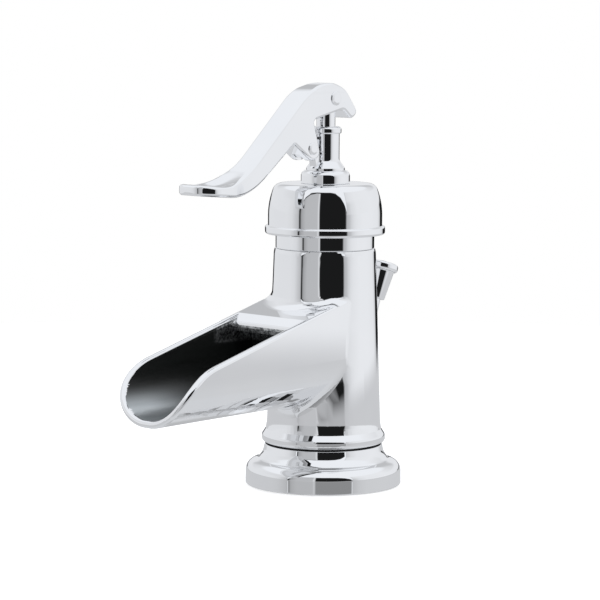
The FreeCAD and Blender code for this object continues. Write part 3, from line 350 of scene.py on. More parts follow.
GLOSS_INPUTS = [("Scale", 60), ("Low", 0.02), ("High", 0.05)]
gloss_group, given, result = new_group("gloss_change", GLOSS_INPUTS, "Roughness")
where = gloss_group.nodes.new("ShaderNodeTexCoord")
cloud = add_node(gloss_group, "ShaderNodeTexNoise", Detail=3.0, Roughness=0.6)
gloss_group.links.new(where.outputs["Object"], cloud.inputs["Vector"])
gloss_group.links.new(given.outputs["Scale"], cloud.inputs["Scale"])
spread = add_node(gloss_group, "ShaderNodeMapRange", From_Min=0.3, From_Max=0.7)
gloss_group.links.new(cloud.outputs["Fac"], spread.inputs["Value"])
gloss_group.links.new(given.outputs["Low"], spread.inputs["To Min"])
gloss_group.links.new(given.outputs["High"], spread.inputs["To Max"])
gloss_group.links.new(spread.outputs["Result"], result.inputs["Roughness"])
print(gloss_group.name, "group made")

# %% Group: fine relief
relief_group, given, result = new_group("fine_relief", [("Scale", 900), ("Stretch", 1)], "Height")
where = relief_group.nodes.new("ShaderNodeTexCoord")
squeeze = relief_group.nodes.new("ShaderNodeCombineXYZ")
squeeze.inputs["X"].default_value = 1
squeeze.inputs["Y"].default_value = 1
relief_group.links.new(given.outputs["Stretch"], squeeze.inputs["Z"])
along = relief_group.nodes.new("ShaderNodeVectorMath")
along.operation = "MULTIPLY"
relief_group.links.new(where.outputs["Object"], along.inputs[0])
relief_group.links.new(squeeze.outputs["Vector"], along.inputs[1])
grain = add_node(relief_group, "ShaderNodeTexNoise", Detail=4.0, Roughness=0.65)
relief_group.links.new(along.outputs["Vector"], grain.inputs["Vector"])
relief_group.links.new(given.outputs["Scale"], grain.inputs["Scale"])
relief_group.links.new(grain.outputs["Fac"], result.inputs["Height"])
print(relief_group.name, "group made")

# %% [markdown]
# The finishes. Chrome plate is a metal with a slightly cold white reflection and a mirror gloss that
# varies by a hair where the polishing wheel dwelt. Under the deck the metal is bare: machined brass, drawn
# copper, zinc-plated steel. Inside there are rubber, ceramic and moulded acetal. One function makes them
# all, because they differ only in a handful of numbers.

# %% One function for all finishes
COLOUR_SCALE = 40.0
RELIEF_DISTANCE = 0.0002


def make_finish(name, colours, metal, gloss, relief, depth):
    """A material whose colour, gloss and relief vary over the surface in object space."""
    finish = bpy.data.materials.new(name)
    finish.use_nodes = True
    tree = finish.node_tree
    shader = tree.nodes["Principled BSDF"]
    shader.inputs["Metallic"].default_value = metal
    where = tree.nodes.new("ShaderNodeTexCoord")
    cloud = add_node(tree, "ShaderNodeTexNoise", Scale=COLOUR_SCALE, Detail=2.0)
    tree.links.new(where.outputs["Object"], cloud.inputs["Vector"])
    tint = colour_ramp(tree, [(0.35, colours[0]), (0.65, colours[1])])
    tree.links.new(cloud.outputs["Fac"], tint.inputs["Fac"])
    tree.links.new(tint.outputs["Color"], shader.inputs["Base Color"])
    change = tree.nodes.new("ShaderNodeGroup")
    change.node_tree = gloss_group
    for socket, value in zip(("Scale", "Low", "High"), gloss):
        change.inputs[socket].default_value = value
    tree.links.new(change.outputs["Roughness"], shader.inputs["Roughness"])
    skin = tree.nodes.new("ShaderNodeGroup")
    skin.node_tree = relief_group
    for socket, value in zip(("Scale", "Stretch"), relief):
        skin.inputs[socket].default_value = value
    bump = add_node(tree, "ShaderNodeBump", Strength=depth, Distance=RELIEF_DISTANCE)
    tree.links.new(skin.outputs["Height"], bump.inputs["Height"])
    tree.links.new(bump.outputs["Normal"], shader.inputs["Normal"])
    return finish


FINISHES = {
    "chrome": make_finish(
        "chrome_plate", ((0.925, 0.932, 0.945), (0.94, 0.946, 0.956)), 1, (55, 0.006, 0.02), (30, 1), 0.0,
    ),
    "brass": make_finish(
        "machined_brass", ((0.66, 0.49, 0.22), (0.74, 0.57, 0.29)), 1, (120, 0.2, 0.34), (700, 6), 0.12,
    ),
    "copper": make_finish(
        "drawn_copper", ((0.66, 0.34, 0.2), (0.76, 0.44, 0.29)), 1, (90, 0.18, 0.36), (900, 0.15), 0.1,
    ),
    "steel": make_finish(
        "plated_steel", ((0.52, 0.53, 0.54), (0.62, 0.63, 0.64)), 1, (150, 0.22, 0.38), (1100, 3), 0.12,
    ),
    # Black rubber also serves on the base's step, as a painted shadow of the joint.
    "rubber": make_finish(
        "black_rubber_and_painted_shade", ((0.022, 0.022, 0.024), (0.035, 0.035, 0.038)), 0, (200, 0.55, 0.75), (1600, 1), 0.2,
    ),
    "ceramic": make_finish(
        "lapped_ceramic", ((0.86, 0.84, 0.8), (0.9, 0.885, 0.85)), 0, (200, 0.12, 0.2), (2200, 1), 0.03,
    ),
    "acetal": make_finish(
        "moulded_acetal", ((0.76, 0.76, 0.74), (0.82, 0.82, 0.8)), 0, (120, 0.35, 0.5), (1400, 1), 0.06,
    ),
}
print("finishes:", ", ".join(FINISHES))

# %% [markdown]
# Every solid gets the finish of its slot in the record. The ones that nobody sees need nothing more.

# %% Finish every solid
SLOT_OF = {part["node"]: part["material_slot"] for part in frame["record"]["subparts"]}
BODY_OF = {name: body for body, names in frame["record"]["behaviour"]["bodies"].items() for name in names}
for name, node in nodes.items():
    node.data.materials.clear()
    node.data.materials.append(FINISHES[SLOT_OF[name]])
print(len(SLOT_OF), "solids finished")


def stand_for(piece, node):
    """Let a finished piece take a solid's place, its body and its slot."""
    if not piece.data.materials:
        piece.data.materials.append(FINISHES[SLOT_OF[node]])
    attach(piece, BODY_OF[node])
    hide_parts(node)
    print(piece.name, "stands for", node, "with", len(piece.data.polygons), "faces")


# %% [markdown]
# Most of a faucet comes off a lathe, and Blender's spin is a lathe. A turned piece starts as one point.
# The point is extruded along the piece's profile, and the profile is spun about the axis. Real turned
# edges are never knife sharp, so each corner of a profile may have a rounding. Just before and after a
# rounding stands a holding point, a few hundredths of a millimetre away: it keeps the straight runs
# straight in the reflections, because a smooth normal spreads from point to point.

# %% Lathe helpers
MM = 0.001
HOLD = 0.03
ARC_STEPS_MIN, ARC_STEP_DEGREES, ARC_STEP_LENGTH = 4, 7, 0.9
WELD_DISTANCE = 0.000002
SMOOTH_ANGLE = math.radians(32)


def round_corners(corners, hold=HOLD):
    """Turn (across, up) or (across, up, rounding) corners in millimetres into points in metres."""
    points = []
    for i, corner in enumerate(corners):
        here = Vector(corner[:2])
        if len(corner) == 2:
            points.append(here)
            continue
        rounding = corner[2]
        back = (Vector(corners[i - 1][:2]) - here).normalized()
        ahead = (Vector(corners[(i + 1) % len(corners)][:2]) - here).normalized()
        half = back.angle(ahead) / 2
        reach = rounding / math.tan(half)
        centre = here + (back + ahead).normalized() * rounding / math.sin(half)
        start = here + back * reach - centre
        sweep = (here + ahead * reach - centre).angle_signed(start)
        turn, length = abs(math.degrees(sweep)), abs(sweep) * rounding
        steps = max(ARC_STEPS_MIN, round(turn / ARC_STEP_DEGREES), round(length / ARC_STEP_LENGTH))
        if hold:
            points.append(here + back * (reach + hold))
        for step in range(steps + 1):
            points.append(centre + Matrix.Rotation(sweep * step / steps, 2) @ start)
        if hold:
            points.append(here + ahead * (reach + hold))
    return [(point.x * MM, point.y * MM) for point in points]


def trace(name, places):
    """Start a piece as one point and extrude it from place to place, in edit mode."""
    bpy.ops.object.select_all(action="DESELECT")
    bpy.ops.mesh.primitive_plane_add(size=MM)
    piece = bpy.context.object
    piece.name = name
    bpy.ops.object.mode_set(mode="EDIT")
    bpy.ops.mesh.select_mode(type="VERT")
    bpy.ops.mesh.select_all(action="SELECT")
    bpy.ops.mesh.merge(type="CENTER")
    bpy.ops.transform.translate(value=places[0])
    for here, after in zip(places, places[1:]):
        bpy.ops.mesh.extrude_vertices_move(TRANSFORM_OT_translate={"value": Vector(after) - Vector(here)})
    bpy.ops.mesh.select_all(action="SELECT")
    return piece


def turn_on_lathe(name, corners, steps=128):
    """Trace a profile and spin it about Z; a profile that starts off the axis is closed."""
    points = round_corners(corners)
    if corners[0][0] > 0:
        points.append(points[0])
    piece = trace(name, [(across, 0, up) for across, up in points])
    bpy.ops.mesh.spin(steps=steps, angle=2 * math.pi, center=(0, 0, 0), axis=(0, 0, 1))
    bpy.ops.mesh.select_all(action="SELECT")
    bpy.ops.mesh.remove_doubles(threshold=WELD_DISTANCE)
    bpy.ops.mesh.normals_make_consistent(inside=False)
    bpy.ops.object.mode_set(mode="OBJECT")
    bpy.ops.object.shade_smooth_by_angle(angle=SMOOTH_ANGLE)
    return piece


print("lathe ready")

# %% [markdown]
# The base flange is the first turned piece: an upright edge, a generous shoulder, a hollow curve and a
# short pedestal up to the joint with the column. It is also recessed below for the gasket. The joint shows
# as a dark line, because its top is stepped and the column's bead hangs over the step. The step is painted
# black with the rubber finish, as a painted shadow of the joint.

# %% Base flange
STEP_HEIGHT, STEP_RADIUS = 17.7 * MM, 25.75 * MM
base = turn_on_lathe("base_turned", [
    (20.65, 0), (26, 0), (26, 2), (32, 2), (32, 0), (34.5, 0, 0.6), (34.5, 9.3, 4.8), (28.9, 11.2, 2.2),
    (26.85, 14.2, 7), (26.1, 17.75, 0.3), (24.9, 17.75), (24.9, 18.2), (20.65, 18.2),
])
base.data.materials.append(FINISHES["chrome"])
# The second finish, black rubber, is a painted shadow on the faces of the step.
base.data.materials.append(FINISHES["rubber"])
for face in base.data.polygons:
    on_step = face.center.z > STEP_HEIGHT and face.center.xy.length < STEP_RADIUS
    face.material_index = 1 if on_step else 0
stand_for(base, "base_flange")

# %% [markdown]
# The bonnet nut closes the valve's bore. Outside, only its plain neck shows between the column's top and
# the dome, with two fine edges.

# %% Bonnet nut
bonnet = turn_on_lathe("bonnet_turned", [
    (13.8, 98), (19.35, 98), (19.35, 104.8), (21.8, 104.8, 0.5), (21.8, 112.3, 0.5), (13.8, 112.3),
])
stand_for(bonnet, "bonnet_nut")

# %% [markdown]
# The dome is a drawn cap with a rolled ring at its lower edge. Its side curves in slowly, and a tighter
# shoulder leads to the flat top. Its boss inside takes the stem, and the set screw's hole comes in from
# behind. A hole is easiest as a Boolean: a thin cylinder is added where the drill would go, subtracted and
# thrown away.

# %% Dome
dome = turn_on_lathe("dome_turned", [
    (23.6, 111.1, 0.2), (26.5, 111.1, 1.2), (26.5, 114.8, 0.9), (25.2, 114.8, 0.2), (25.2, 125.19, 32.5),
    (22.12, 133.4, 3.95), (2.55, 133.4), (2.55, 128.4), (0.3, 128.4), (0.3, 127), (5.75, 127), (5.75, 116.5),
    (8.6, 116.5), (8.6, 131.3), (23.1, 131.3, 5.9), (23.1, 114.8), (23.6, 113.6),
], steps=160)
print("dome turned with", len(dome.data.polygons), "faces")

# %% Drill the dome
QUARTER = math.radians(90)
SCREW_RADIUS, SCREW_DEPTH, SCREW_PLACE = 2.05, 24, (0, 16, 121.5)


def make_active(piece):
    """Select one piece alone, so that the next operator works on it."""
    bpy.ops.object.select_all(action="DESELECT")
    piece.select_set(True)
    bpy.context.view_layer.objects.active = piece


def cut_away(piece, tool):
    """Subtract a tool from a piece, throw the tool away and leave the piece active."""
    make_active(piece)
    bpy.ops.object.modifier_add(type="BOOLEAN")
    cut = piece.modifiers[-1]
    cut.object = tool
    cut.operation = "DIFFERENCE"
    cut.solver = "EXACT"
    bpy.ops.object.modifier_apply(modifier=cut.name)
    bpy.data.objects.remove(tool)


def drill(piece, radius, depth, place, turn):
    """Cut a round hole, its sizes and the place of its middle in millimetres."""
    bpy.ops.object.select_all(action="DESELECT")
    bpy.ops.mesh.primitive_cylinder_add(
        vertices=48, radius=radius * MM, depth=depth * MM, location=[v * MM for v in place], rotation=turn,
    )
    cut_away(piece, bpy.context.object)


drill(dome, SCREW_RADIUS, SCREW_DEPTH, SCREW_PLACE, (QUARTER, 0, 0))
bpy.ops.object.shade_smooth_by_angle(angle=SMOOTH_ANGLE)
stand_for(dome, "handle_dome")

# %% [markdown]
# The plinth between the dome and the post is a low block with a large rounding on top.

# %% Plinth
plinth = turn_on_lathe("plinth_turned", [
    (2.55, 133.4), (10.8, 133.4, 0.3), (10.8, 139.2, 2.6), (2.55, 139.2),
])
stand_for(plinth, "handle_plinth")

# %% [markdown]
# The lift knob and its rod lean back by eighteen degrees. Both are turned upright, where the profile is
# easy to read, and then leaned over and moved to their place behind the column; applying the transform
# puts that place into the mesh.

# %% Lift rod and knob
LIFT_LEAN = (math.radians(-18), 0, 0)
LIFT_PLACE = (0, 6.8, 0)


def put(piece, turn, place):
    """Turn a piece, move it to a place in millimetres and write both into its mesh."""
    piece.rotation_euler = turn
    piece.location = [v * MM for v in place]
    make_active(piece)
    bpy.ops.object.transform_apply()


lift_rod = turn_on_lathe("lift_rod_turned", [
    (0, -80), (2.3, -80, 0.4), (2.3, -60), (2.5, -60, 0.1), (2.5, 92.2), (0, 92.2),
], steps=64)
put(lift_rod, LIFT_LEAN, LIFT_PLACE)
stand_for(lift_rod, "lift_rod")
knob = turn_on_lathe("lift_knob_turned", [
    (0, 92.2), (2.55, 92.2), (2.55, 84.2), (4.2, 84.2, 0.4), (5.8, 97.2, 0.6), (7.2, 97.2, 1.2),
    (7.2, 100.6, 1.2), (0, 101.7),
], steps=96)
put(knob, LIFT_LEAN, LIFT_PLACE)
stand_for(knob, "lift_knob")

# %% [markdown]
# The two pivot pins go through the lever from side to side and are riveted over, so their heads are low
# and round. They are turned upright as well, and then laid along X.

# %% Pivot pins
ACROSS = (0, QUARTER, 0)
UPPER_PIVOT, LOWER_PIVOT = (0, 0, 170.8), (0, -14.2, 149.2)


def rivet(radius, head):
    """A rivet's profile: two low round heads on a shank."""
    top = [(radius, 6.22), (head, 6.22), (head, 6.55, 0.3), (head * 0.6, 6.95, 1.2), (0, 7)]
    bottom = [(across, -up, *rounding) for across, up, *rounding in reversed(top)]
    return bottom + top


upper_pin = turn_on_lathe("upper_pin_turned", rivet(2.2, 3.1), steps=64)
put(upper_pin, ACROSS, UPPER_PIVOT)
stand_for(upper_pin, "upper_pivot_pin")
lower_pin = turn_on_lathe("lower_pin_turned", rivet(1.9, 2.75), steps=64)
put(lower_pin, ACROSS, LOWER_PIVOT)
stand_for(lower_pin, "lower_pivot_pin")

# %% [markdown]
# Cast pieces aren't round, and their true shape is already in the solids. A solid's mesh is loose
# triangles, so a copy of it is welded before anything else. The solid knows the exact direction of its
# surface at every corner, which thin triangles in a blend would lose when they are only shaded smooth. The
# weld keeps the order of the corners, so these directions can be carried over one by one.

# %% Copy a solid as one skin
def one_skin(node, name):
    """A welded copy of a solid's mesh, in place, with the solid's own normals."""
    piece = bpy.data.objects.new(name, nodes[node].data.copy())
    scene.collection.objects.link(piece)
    make_active(piece)
    bpy.ops.object.modifier_add(type="WELD")
    weld = piece.modifiers[-1]
    weld.merge_threshold = WELD_DISTANCE
    bpy.ops.object.modifier_apply(modifier=weld.name)
    bpy.ops.object.shade_smooth()
    bpy.ops.object.modifier_add(type="DATA_TRANSFER")
    carry = piece.modifiers[-1]
    carry.object = nodes[node]
    carry.use_loop_data = True
    carry.data_types_loops = {"CUSTOM_NORMAL"}
    carry.loop_mapping = "TOPOLOGY"
    bpy.ops.object.modifier_apply(modifier=carry.name)
    return piece


SKINS = (
    "pump_post", "pump_rod", "mounting_shank", "mounting_nut", "deck_washer", "clamp_washer",
    "hot_supply_tube", "cold_supply_tube", "base_gasket",
)
for node in SKINS:
    stand_for(one_skin(node, node + "_skin"), node)

# %% [markdown]
# The valve body is one casting: column, trough and roof. The wheel reaches all of its outside, the rim
# and the lip, so these are mirror bright. The roof's front edge is rounded into a fat lip by a bevel; the
# small triangles beside it are dissolved first, so that the bevel finds whole faces. The new faces need
# new normals: weighted ones let the large flat faces keep their own direction, so that the small rounding
# beside them doesn't bend the reflections.

# %% Valve body
NORMAL_WEIGHT = 60


def select_parts(piece, kind, test):
    """Select the vertices, edges or faces that pass a test, and no others, in edit mode."""
    bpy.ops.object.mode_set(mode="EDIT")
    bpy.ops.mesh.select_mode(type={"vertices": "VERT", "edges": "EDGE", "polygons": "FACE"}[kind])
    bpy.ops.mesh.select_all(action="DESELECT")
    bpy.ops.object.mode_set(mode="OBJECT")
    for part in getattr(piece.data, kind):
        part.select = test(part)
    bpy.ops.object.mode_set(mode="EDIT")


def weigh_normals(piece, group=""):
    """Normals led by the large faces, everywhere or in a vertex group."""
    bpy.ops.object.modifier_add(type="WEIGHTED_NORMAL")
    weigh = piece.modifiers[-1]
    weigh.keep_sharp = True
    weigh.weight = NORMAL_WEIGHT
    weigh.vertex_group = group
    bpy.ops.object.modifier_apply(modifier=weigh.name)


body = one_skin("valve_body", "valve_body_skin")
print("valve body of", len(body.data.polygons), "faces")

# %% Round the lip
LIP_FRONT, LIP_TOP, LIP_HALF_WIDTH = -37.5 * MM, 72.49 * MM, 19.3 * MM
LIP_ROUNDING, LIP_REACH = 1.5 * MM, 2 * MM
LIP_BOX = ((-0.021, 0.021), (-0.046, -0.02), (0.06, 0.086))
ON_EDGE = (0.00003, 0.0001)
FLAT_ANGLE = math.radians(0.3)


def around_lip(place):
    """Whether a place lies in the box around the lip."""
    return all(low < value < high for value, (low, high) in zip(place, LIP_BOX))


def near_edge(place, forward, up):
    """Whether a place is this close to the line of the lip's front and top."""
    return abs(place.y - LIP_FRONT) < forward and abs(place.z - LIP_TOP) < up


select_parts(body, "polygons", lambda face: around_lip(face.center))
bpy.ops.mesh.dissolve_limited(angle_limit=FLAT_ANGLE)
bpy.ops.object.mode_set(mode="OBJECT")
on_lip = {point.index for point in body.data.vertices if near_edge(point.co, *ON_EDGE)}
select_parts(body, "edges", lambda edge: set(edge.vertices) <= on_lip)
bpy.ops.mesh.bevel(offset=LIP_ROUNDING, segments=7, affect="EDGES", clamp_overlap=False)
bpy.ops.object.mode_set(mode="OBJECT")
rounded = [
    point.index for point in body.data.vertices
    if abs(point.co.x) < LIP_HALF_WIDTH and near_edge(point.co, LIP_REACH, LIP_REACH)
]
lip = body.vertex_groups.new(name="lip")
lip.add(rounded, 1, "REPLACE")
weigh_normals(body, lip.name)
print("lip rounded from", len(on_lip), "points to", len(rounded))

# %% [markdown]
# The column flares a little at its foot, just above the bead, and draws in a little at its top, as polished
# castings do. The skin is cut at a few heights there, and each ring of points is widened or narrowed by
# its share. Such a bend is hardly seen as a shape, but it turns the mirror upwards, so the dark opening
# shows at the foot again and ends in round corners at the top. The top's own edge stays sharp.

# %% Bend the column's ends
BEND_RINGS = 7
NEAR, RIM_NEAR = 0.05, 0.01
FOOT_START, FOOT_END, FOOT_RADIUS, FLARE = 29.2, 24.72, 25, 0.4
FOOT_LIMIT, FOOT_INSIDE = 34, 24
TOP_START, TOP_END, TOP_RADIUS, DRAW_IN = 102.4, 104.8, 22.5, -0.4
TOP_LIMIT, TOP_INSIDE = 97.4, 21.9


def on_foot(place):
    """Whether a place lies on the outside of the column's lowest part."""
    return FOOT_END - 2 * NEAR < place.z / MM < FOOT_LIMIT and place.xy.length > FOOT_INSIDE * MM


def on_top(place):
    """Whether a place lies on the outside of the column's highest part."""
    return TOP_LIMIT < place.z / MM < TOP_END + 2 * NEAR and place.xy.length > TOP_INSIDE * MM


def bend_end(name, inside, start, end, radius, change):
    """Cut rings from one height to another and change their radius more and more, all in millimetres."""
    heights = [start + (end - start) * ring / BEND_RINGS for ring in range(BEND_RINGS + 1)]
    for height in heights[:-1]:
        select_parts(body, "polygons", lambda face: inside(face.center))
        bpy.ops.mesh.bisect(plane_co=(0, 0, height * MM), plane_no=(0, 0, 1))
    for ring, height in enumerate(heights):
        select_parts(
            body, "vertices", lambda point: inside(point.co) and abs(point.co.z / MM - height) < NEAR,
        )
        bpy.ops.transform.tosphere(value=1, center_override=(0, 0, height * MM))
        wider = 1 + change * (ring / BEND_RINGS) ** 2 / radius
        bpy.ops.transform.resize(value=(wider, wider, 1), center_override=(0, 0, 0))
    bpy.ops.object.mode_set(mode="OBJECT")
    low, high = min(start, end) - NEAR, max(start, end) + NEAR
    bent = [point.index for point in body.data.vertices if inside(point.co) and low < point.co.z / MM < high]
    group = body.vertex_groups.new(name=name)
    group.add(bent, 1, "REPLACE")
    weigh_normals(body, group.name)
    print(name, "bent at", len(bent), "points")


bend_end("foot", on_foot, FOOT_START, FOOT_END, FOOT_RADIUS, FLARE)
rim = {
    point.index for point in body.data.vertices
    if on_top(point.co) and point.co.z / MM > TOP_END - RIM_NEAR
}
select_parts(body, "edges", lambda edge: set(edge.vertices) <= rim)
bpy.ops.mesh.mark_sharp()
bend_end("top", on_top, TOP_START, TOP_END, TOP_RADIUS, DRAW_IN)

# %% [markdown]
# The trough's inside and the hollow under the roof keep the dull skin of the casting, and its shade is
# painted into the colour: nearly black at the back as painted shade, satin grey metal where the floor runs
# out to the nose and the light gets in, with streaks along the flow, and rough and grey on the strip right
# under the lip. So this finish depends on the place. The border runs a little below the rim's rounding,
# and each face is sorted by where its middle lies in the trough's section.

# %% Trough finish with painted shade
SATIN = ((0.56, 0.6, 0.62), (0.68, 0.71, 0.72))
ROUGH = ((0.12, 0.125, 0.13), (0.55, 0.56, 0.56))
PAINTED_SHADE = ((0.012, 0.013, 0.012), (0.02, 0.022, 0.021))
FLOOR_UP, FLOOR_ALONG = (0.051, 0.041), (-0.06, -0.095)
STRIP_UP, STRIP_ALONG = (0.064, 0.0665), (-0.05, -0.045)
GRAIN_EDGE = (0.35, 0.65)
FLOW_STRETCH = (1, 0.08, 1)


def trough_finish_and_shade():
    """A dull plate with painted shade, nearly black, at the back, satin at the nose and rough under the lip.
    """
    finish = bpy.data.materials.new("trough_plate_and_painted_shade")
    finish.use_nodes = True
    tree = finish.node_tree
    shader = tree.nodes["Principled BSDF"]
    where = tree.nodes.new("ShaderNodeTexCoord")
    split = tree.nodes.new("ShaderNodeSeparateXYZ")
    tree.links.new(where.outputs["Object"], split.inputs["Vector"])
    along, up = split.outputs["Y"], split.outputs["Z"]
    low, outer = soft_step(tree, up, *FLOOR_UP), soft_step(tree, along, *FLOOR_ALONG)
    floor = calculate(tree, "MULTIPLY", low, outer)
    inner, high = soft_step(tree, along, *STRIP_ALONG), soft_step(tree, up, *STRIP_UP)
    strip = calculate(tree, "MULTIPLY", inner, high)
    # Outside the floor and the strip the plate is no metal, so that the painted shade stays dark.
    tree.links.new(calculate(tree, "MAXIMUM", floor, strip), shader.inputs["Metallic"])
    stretch = tree.nodes.new("ShaderNodeVectorMath")
    stretch.operation = "MULTIPLY"
    stretch.inputs[1].default_value = FLOW_STRETCH
    tree.links.new(where.outputs["Object"], stretch.inputs[0])
    streaks = add_node(tree, "ShaderNodeTexNoise", Scale=700.0, Detail=3.0)
    tree.links.new(stretch.outputs["Vector"], streaks.inputs["Vector"])
    grains = add_node(tree, "ShaderNodeTexNoise", Scale=900.0, Detail=4.0)
    tree.links.new(where.outputs["Object"], grains.inputs["Vector"])
    satin = mix_colours(tree, streaks.outputs["Fac"], *SATIN)
    rough = mix_colours(tree, soft_step(tree, grains.outputs["Fac"], *GRAIN_EDGE), *ROUGH)
    # The painted shade at the back: a nearly black colour with faint streaks.
    dark = mix_colours(tree, streaks.outputs["Fac"], *PAINTED_SHADE)
    colour = mix_colours(tree, strip, mix_colours(tree, floor, dark, satin), rough)
    tree.links.new(colour, shader.inputs["Base Color"])
    gloss = add_node(tree, "ShaderNodeMapRange", To_Min=0.26, To_Max=0.38)
    tree.links.new(streaks.outputs["Fac"], gloss.inputs["Value"])
    tree.links.new(gloss.outputs["Result"], shader.inputs["Roughness"])
    bump = add_node(tree, "ShaderNodeBump", Strength=0.15, Distance=RELIEF_DISTANCE)
    tree.links.new(grains.outputs["Fac"], bump.inputs["Height"])
    tree.links.new(bump.outputs["Normal"], shader.inputs["Normal"])
    return finish


trough = trough_finish_and_shade()
print(trough.name, "made")

# %% Sort the trough's faces
FLOOR_HEIGHT, FLOOR_SLOPE = 37.6, 0.019
SECTION_RADIUS, SECTION_FLAT, SECTION_HALF_WIDTH = 20.8, 1.5, 22.3
RIM_HEIGHT, RIM_SLOPE, RIM_MARGIN = 86.3, 0.283, 1.5
NOSE_START, NOSE_FORWARD, NOSE_HEIGHT, NOSE_RADIUS = -86.6, -78.98, 34.84, 26.5
ROOF_FRONT, ROOF_BACK, ROOF_HALF_WIDTH, ROOF_FLOOR, ROOF_MARGIN = -37.6, -25.7, 19.3, 40, 3.6
WALL = 3


def in_trough(middle):
    """Whether a point of the casting's surface lies on the trough's dull inside."""
    x, y, z = abs(middle.x) / MM, middle.y / MM, middle.z / MM
    centre = FLOOR_HEIGHT + FLOOR_SLOPE * y + SECTION_RADIUS
    to_round = SECTION_RADIUS - math.hypot(max(x - SECTION_FLAT, 0), z - centre)
    depth = SECTION_HALF_WIDTH - x if z > centre else to_round
    rim = RIM_HEIGHT + RIM_SLOPE * y
    if y > ROOF_FRONT:
        below = y < ROOF_BACK and x < ROOF_HALF_WIDTH and ROOF_FLOOR < z < rim - ROOF_MARGIN
    elif y > NOSE_START:
        below = z < rim - RIM_MARGIN
    else:
        below = math.hypot(y - NOSE_FORWARD, z - NOSE_HEIGHT) < NOSE_RADIUS
    return depth > WALL and below


body.data.materials.clear()
body.data.materials.append(FINISHES["chrome"])
# The trough's faces take this plate, with its painted shade at the back.
body.data.materials.append(trough)
count = 0
for face in body.data.polygons:
    face.material_index = 1 if in_trough(face.center) else 0
    count += face.material_index
print(count, "faces keep the casting's skin")
stand_for(body, "valve_body")

# %% [markdown]
# The pump lever is an S-shaped casting with soft edges. It is made as a pattern maker would saw it: the
# side outline is traced and filled as one face, the face is extruded to the lever's width, and the edges
# of both cheeks are bevelled. The outline has the spoon at one end, a notch and a lobe under it for the
# lower pin, and the hooked head over the rod.

# %% Lever: blank with round edges
LEVER_OUTLINE = [
    (-82.8, 131.6, 1.86), (-52.6, 129.3, 32), (-25.5, 151.4, 1.24), (-6.1, 137.5, 4.2), (-13.4, 161.5, 1.5),
    (5, 165.9, 3), (10.4, 161.2, 2.4), (14.4, 164.6, 2.4), (4.6, 177.5, 12.4), (-13.2, 177.5, 28),
    (-58.6, 134.3, 39.7), (-82.8, 136.2, 1.86),
]
LEVER_HALF_WIDTH = 6.2
LEVER_ROUNDING = 1.45
outline = [(-LEVER_HALF_WIDTH * MM, along, up) for along, up in round_corners(LEVER_OUTLINE, 0)]
lever = trace("pump_lever_cast", outline + outline[:1])
bpy.ops.mesh.remove_doubles(threshold=WELD_DISTANCE)
bpy.ops.mesh.edge_face_add()
bpy.ops.mesh.extrude_region_move(TRANSFORM_OT_translate={"value": (2 * LEVER_HALF_WIDTH * MM, 0, 0)})
bpy.ops.mesh.select_all(action="SELECT")
bpy.ops.mesh.normals_make_consistent(inside=False)
points = lever.data.vertices
select_parts(lever, "edges", lambda edge: points[edge.vertices[0]].co.x * points[edge.vertices[1]].co.x > 0)
bpy.ops.mesh.bevel(offset=LEVER_ROUNDING * MM, segments=5, affect="EDGES", clamp_overlap=False)
bpy.ops.object.mode_set(mode="OBJECT")
print("lever blank of", len(lever.data.polygons), "faces")

# %% [markdown]
# The far end widens into a spoon. The blank is cut across at many stations with bisect, and each ring of
# points is then scaled sideways to the width that the spoon's plan has there. The plan is one more rounded
# outline.

# %% Lever: spoon
SPOON_PLAN = [
    (LEVER_HALF_WIDTH, 41), (LEVER_HALF_WIDTH, -52.5, 52), (11.2, -67.9, 30), (11.2, -82.8, 9.5), (0, -82.8),
]
SPOON_START, SPOON_END = -41, -82.5
SPOON_STATIONS = 30
SAME_RING = 0.0000006
plan = round_corners(SPOON_PLAN, 0)


def spoon_width(along):
    """Half the lever's width at a place along it."""
    for (wide, here), (next_wide, there) in zip(plan, plan[1:]):
        if there <= along <= here and there < here:
            return wide + (next_wide - wide) * (here - along) / (here - there)
    return plan[-2][0]


bpy.ops.object.mode_set(mode="EDIT")
for station in range(SPOON_STATIONS):
    along = SPOON_START + (SPOON_END - SPOON_START) * station / (SPOON_STATIONS - 1)
    bpy.ops.mesh.select_all(action="SELECT")
    bpy.ops.mesh.bisect(plane_co=(0, along * MM, 0), plane_no=(0, 1, 0))
bpy.ops.object.mode_set(mode="OBJECT")
rings = sorted({round(point.co.y, 6) for point in lever.data.vertices if point.co.y < SPOON_START * MM})
for along in rings:
    select_parts(lever, "vertices", lambda point: abs(point.co.y - along) < SAME_RING)
    wider = spoon_width(along) / (LEVER_HALF_WIDTH * MM)
    bpy.ops.transform.resize(value=(wider, 1, 1), center_override=(0, 0, 0))
print(len(rings), "rings widened")

# %% [markdown]
# A thumb rests in a shallow dish on the spoon. The spoon's top is cut lengthwise too, and its middle point
# is pushed down with proportional editing, which carries the points around it along, less and less.

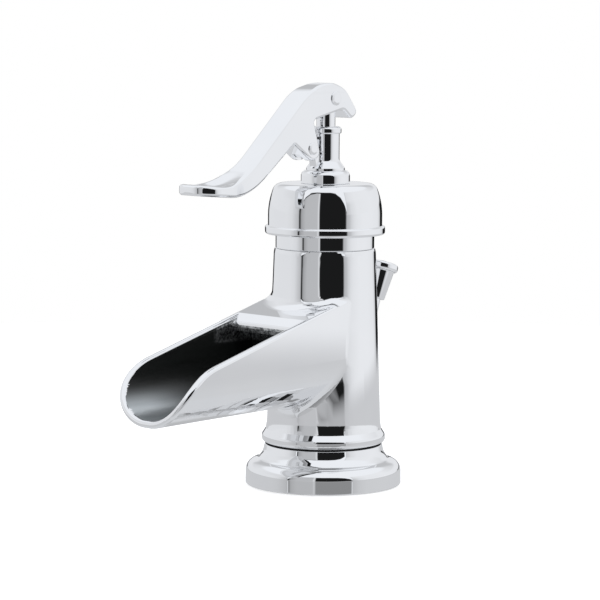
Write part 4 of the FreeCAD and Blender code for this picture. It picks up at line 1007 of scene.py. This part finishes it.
# %% Lever: dish
DISH = Vector((0, -67.5, 136)) * MM
DISH_DEPTH, DISH_REACH = 1.9 * MM, 13.5 * MM
DISH_START, FACING_UP = -53 * MM, 0.7
for across in range(-8, 9, 2):
    select_parts(lever, "polygons", lambda face: face.center.y < DISH_START and face.normal.z > FACING_UP)
    bpy.ops.mesh.bisect(plane_co=(across * MM, 0, 0), plane_no=(1, 0, 0))
bpy.ops.object.mode_set(mode="OBJECT")
middle = min(lever.data.vertices, key=lambda point: (point.co - DISH).length).index
select_parts(lever, "vertices", lambda point: point.index == middle)
bpy.ops.transform.translate(
    value=(0, 0, -DISH_DEPTH), use_proportional_edit=True, use_proportional_connected=True,
    proportional_edit_falloff="SMOOTH", proportional_size=DISH_REACH,
)
bpy.ops.object.mode_set(mode="OBJECT")
print("spoon dished")

# %% [markdown]
# The head's top is rounder than the arm. Its cheeks are cut at a few heights, so that they can curve, and
# then its highest points are drawn together sideways, again with proportional editing, so that the crown
# narrows softly.

# %% Lever: crown
CROWN_CUTS = range(168, 178)
CROWN_START, CROWN_REACH = 176.4 * MM, 5 * MM
CROWN_SHARE = 0.82
for height in CROWN_CUTS:
    bpy.ops.object.mode_set(mode="EDIT")
    bpy.ops.mesh.select_all(action="SELECT")
    bpy.ops.mesh.bisect(plane_co=(0, 0, height * MM), plane_no=(0, 0, 1))
select_parts(lever, "vertices", lambda point: point.co.z > CROWN_START)
bpy.ops.transform.resize(
    value=(CROWN_SHARE, 1, 1), center_override=(0, 0, 0), use_proportional_edit=True,
    use_proportional_connected=True, proportional_edit_falloff="SMOOTH", proportional_size=CROWN_REACH,
)
bpy.ops.object.mode_set(mode="OBJECT")
print("crown rounded")

# %% [markdown]
# The head is slotted for the rod and the lobes for the arm of the post, and both pins need their holes.
# Each cut is a plain tool, subtracted and thrown away.

# %% Lever: slots and holes
SLOTS = (((0, 0, 162.65), (9, 9, 25.3)), ((0, -11.45, 146.93), (4.7, 14.6, 13.65)))
HOLES = ((UPPER_PIVOT, 2.25), (LOWER_PIVOT, 1.95))
HOLE_LENGTH = 30
CAST_SMOOTH_ANGLE = math.radians(30)
for place, size in SLOTS:
    bpy.ops.mesh.primitive_cube_add(size=MM, location=Vector(place) * MM, scale=size)
    cut_away(lever, bpy.context.object)
for place, radius in HOLES:
    drill(lever, radius, HOLE_LENGTH, place, ACROSS)
bpy.ops.object.shade_smooth_by_angle(angle=CAST_SMOOTH_ANGLE)
weigh_normals(lever)
stand_for(lever, "pump_lever")
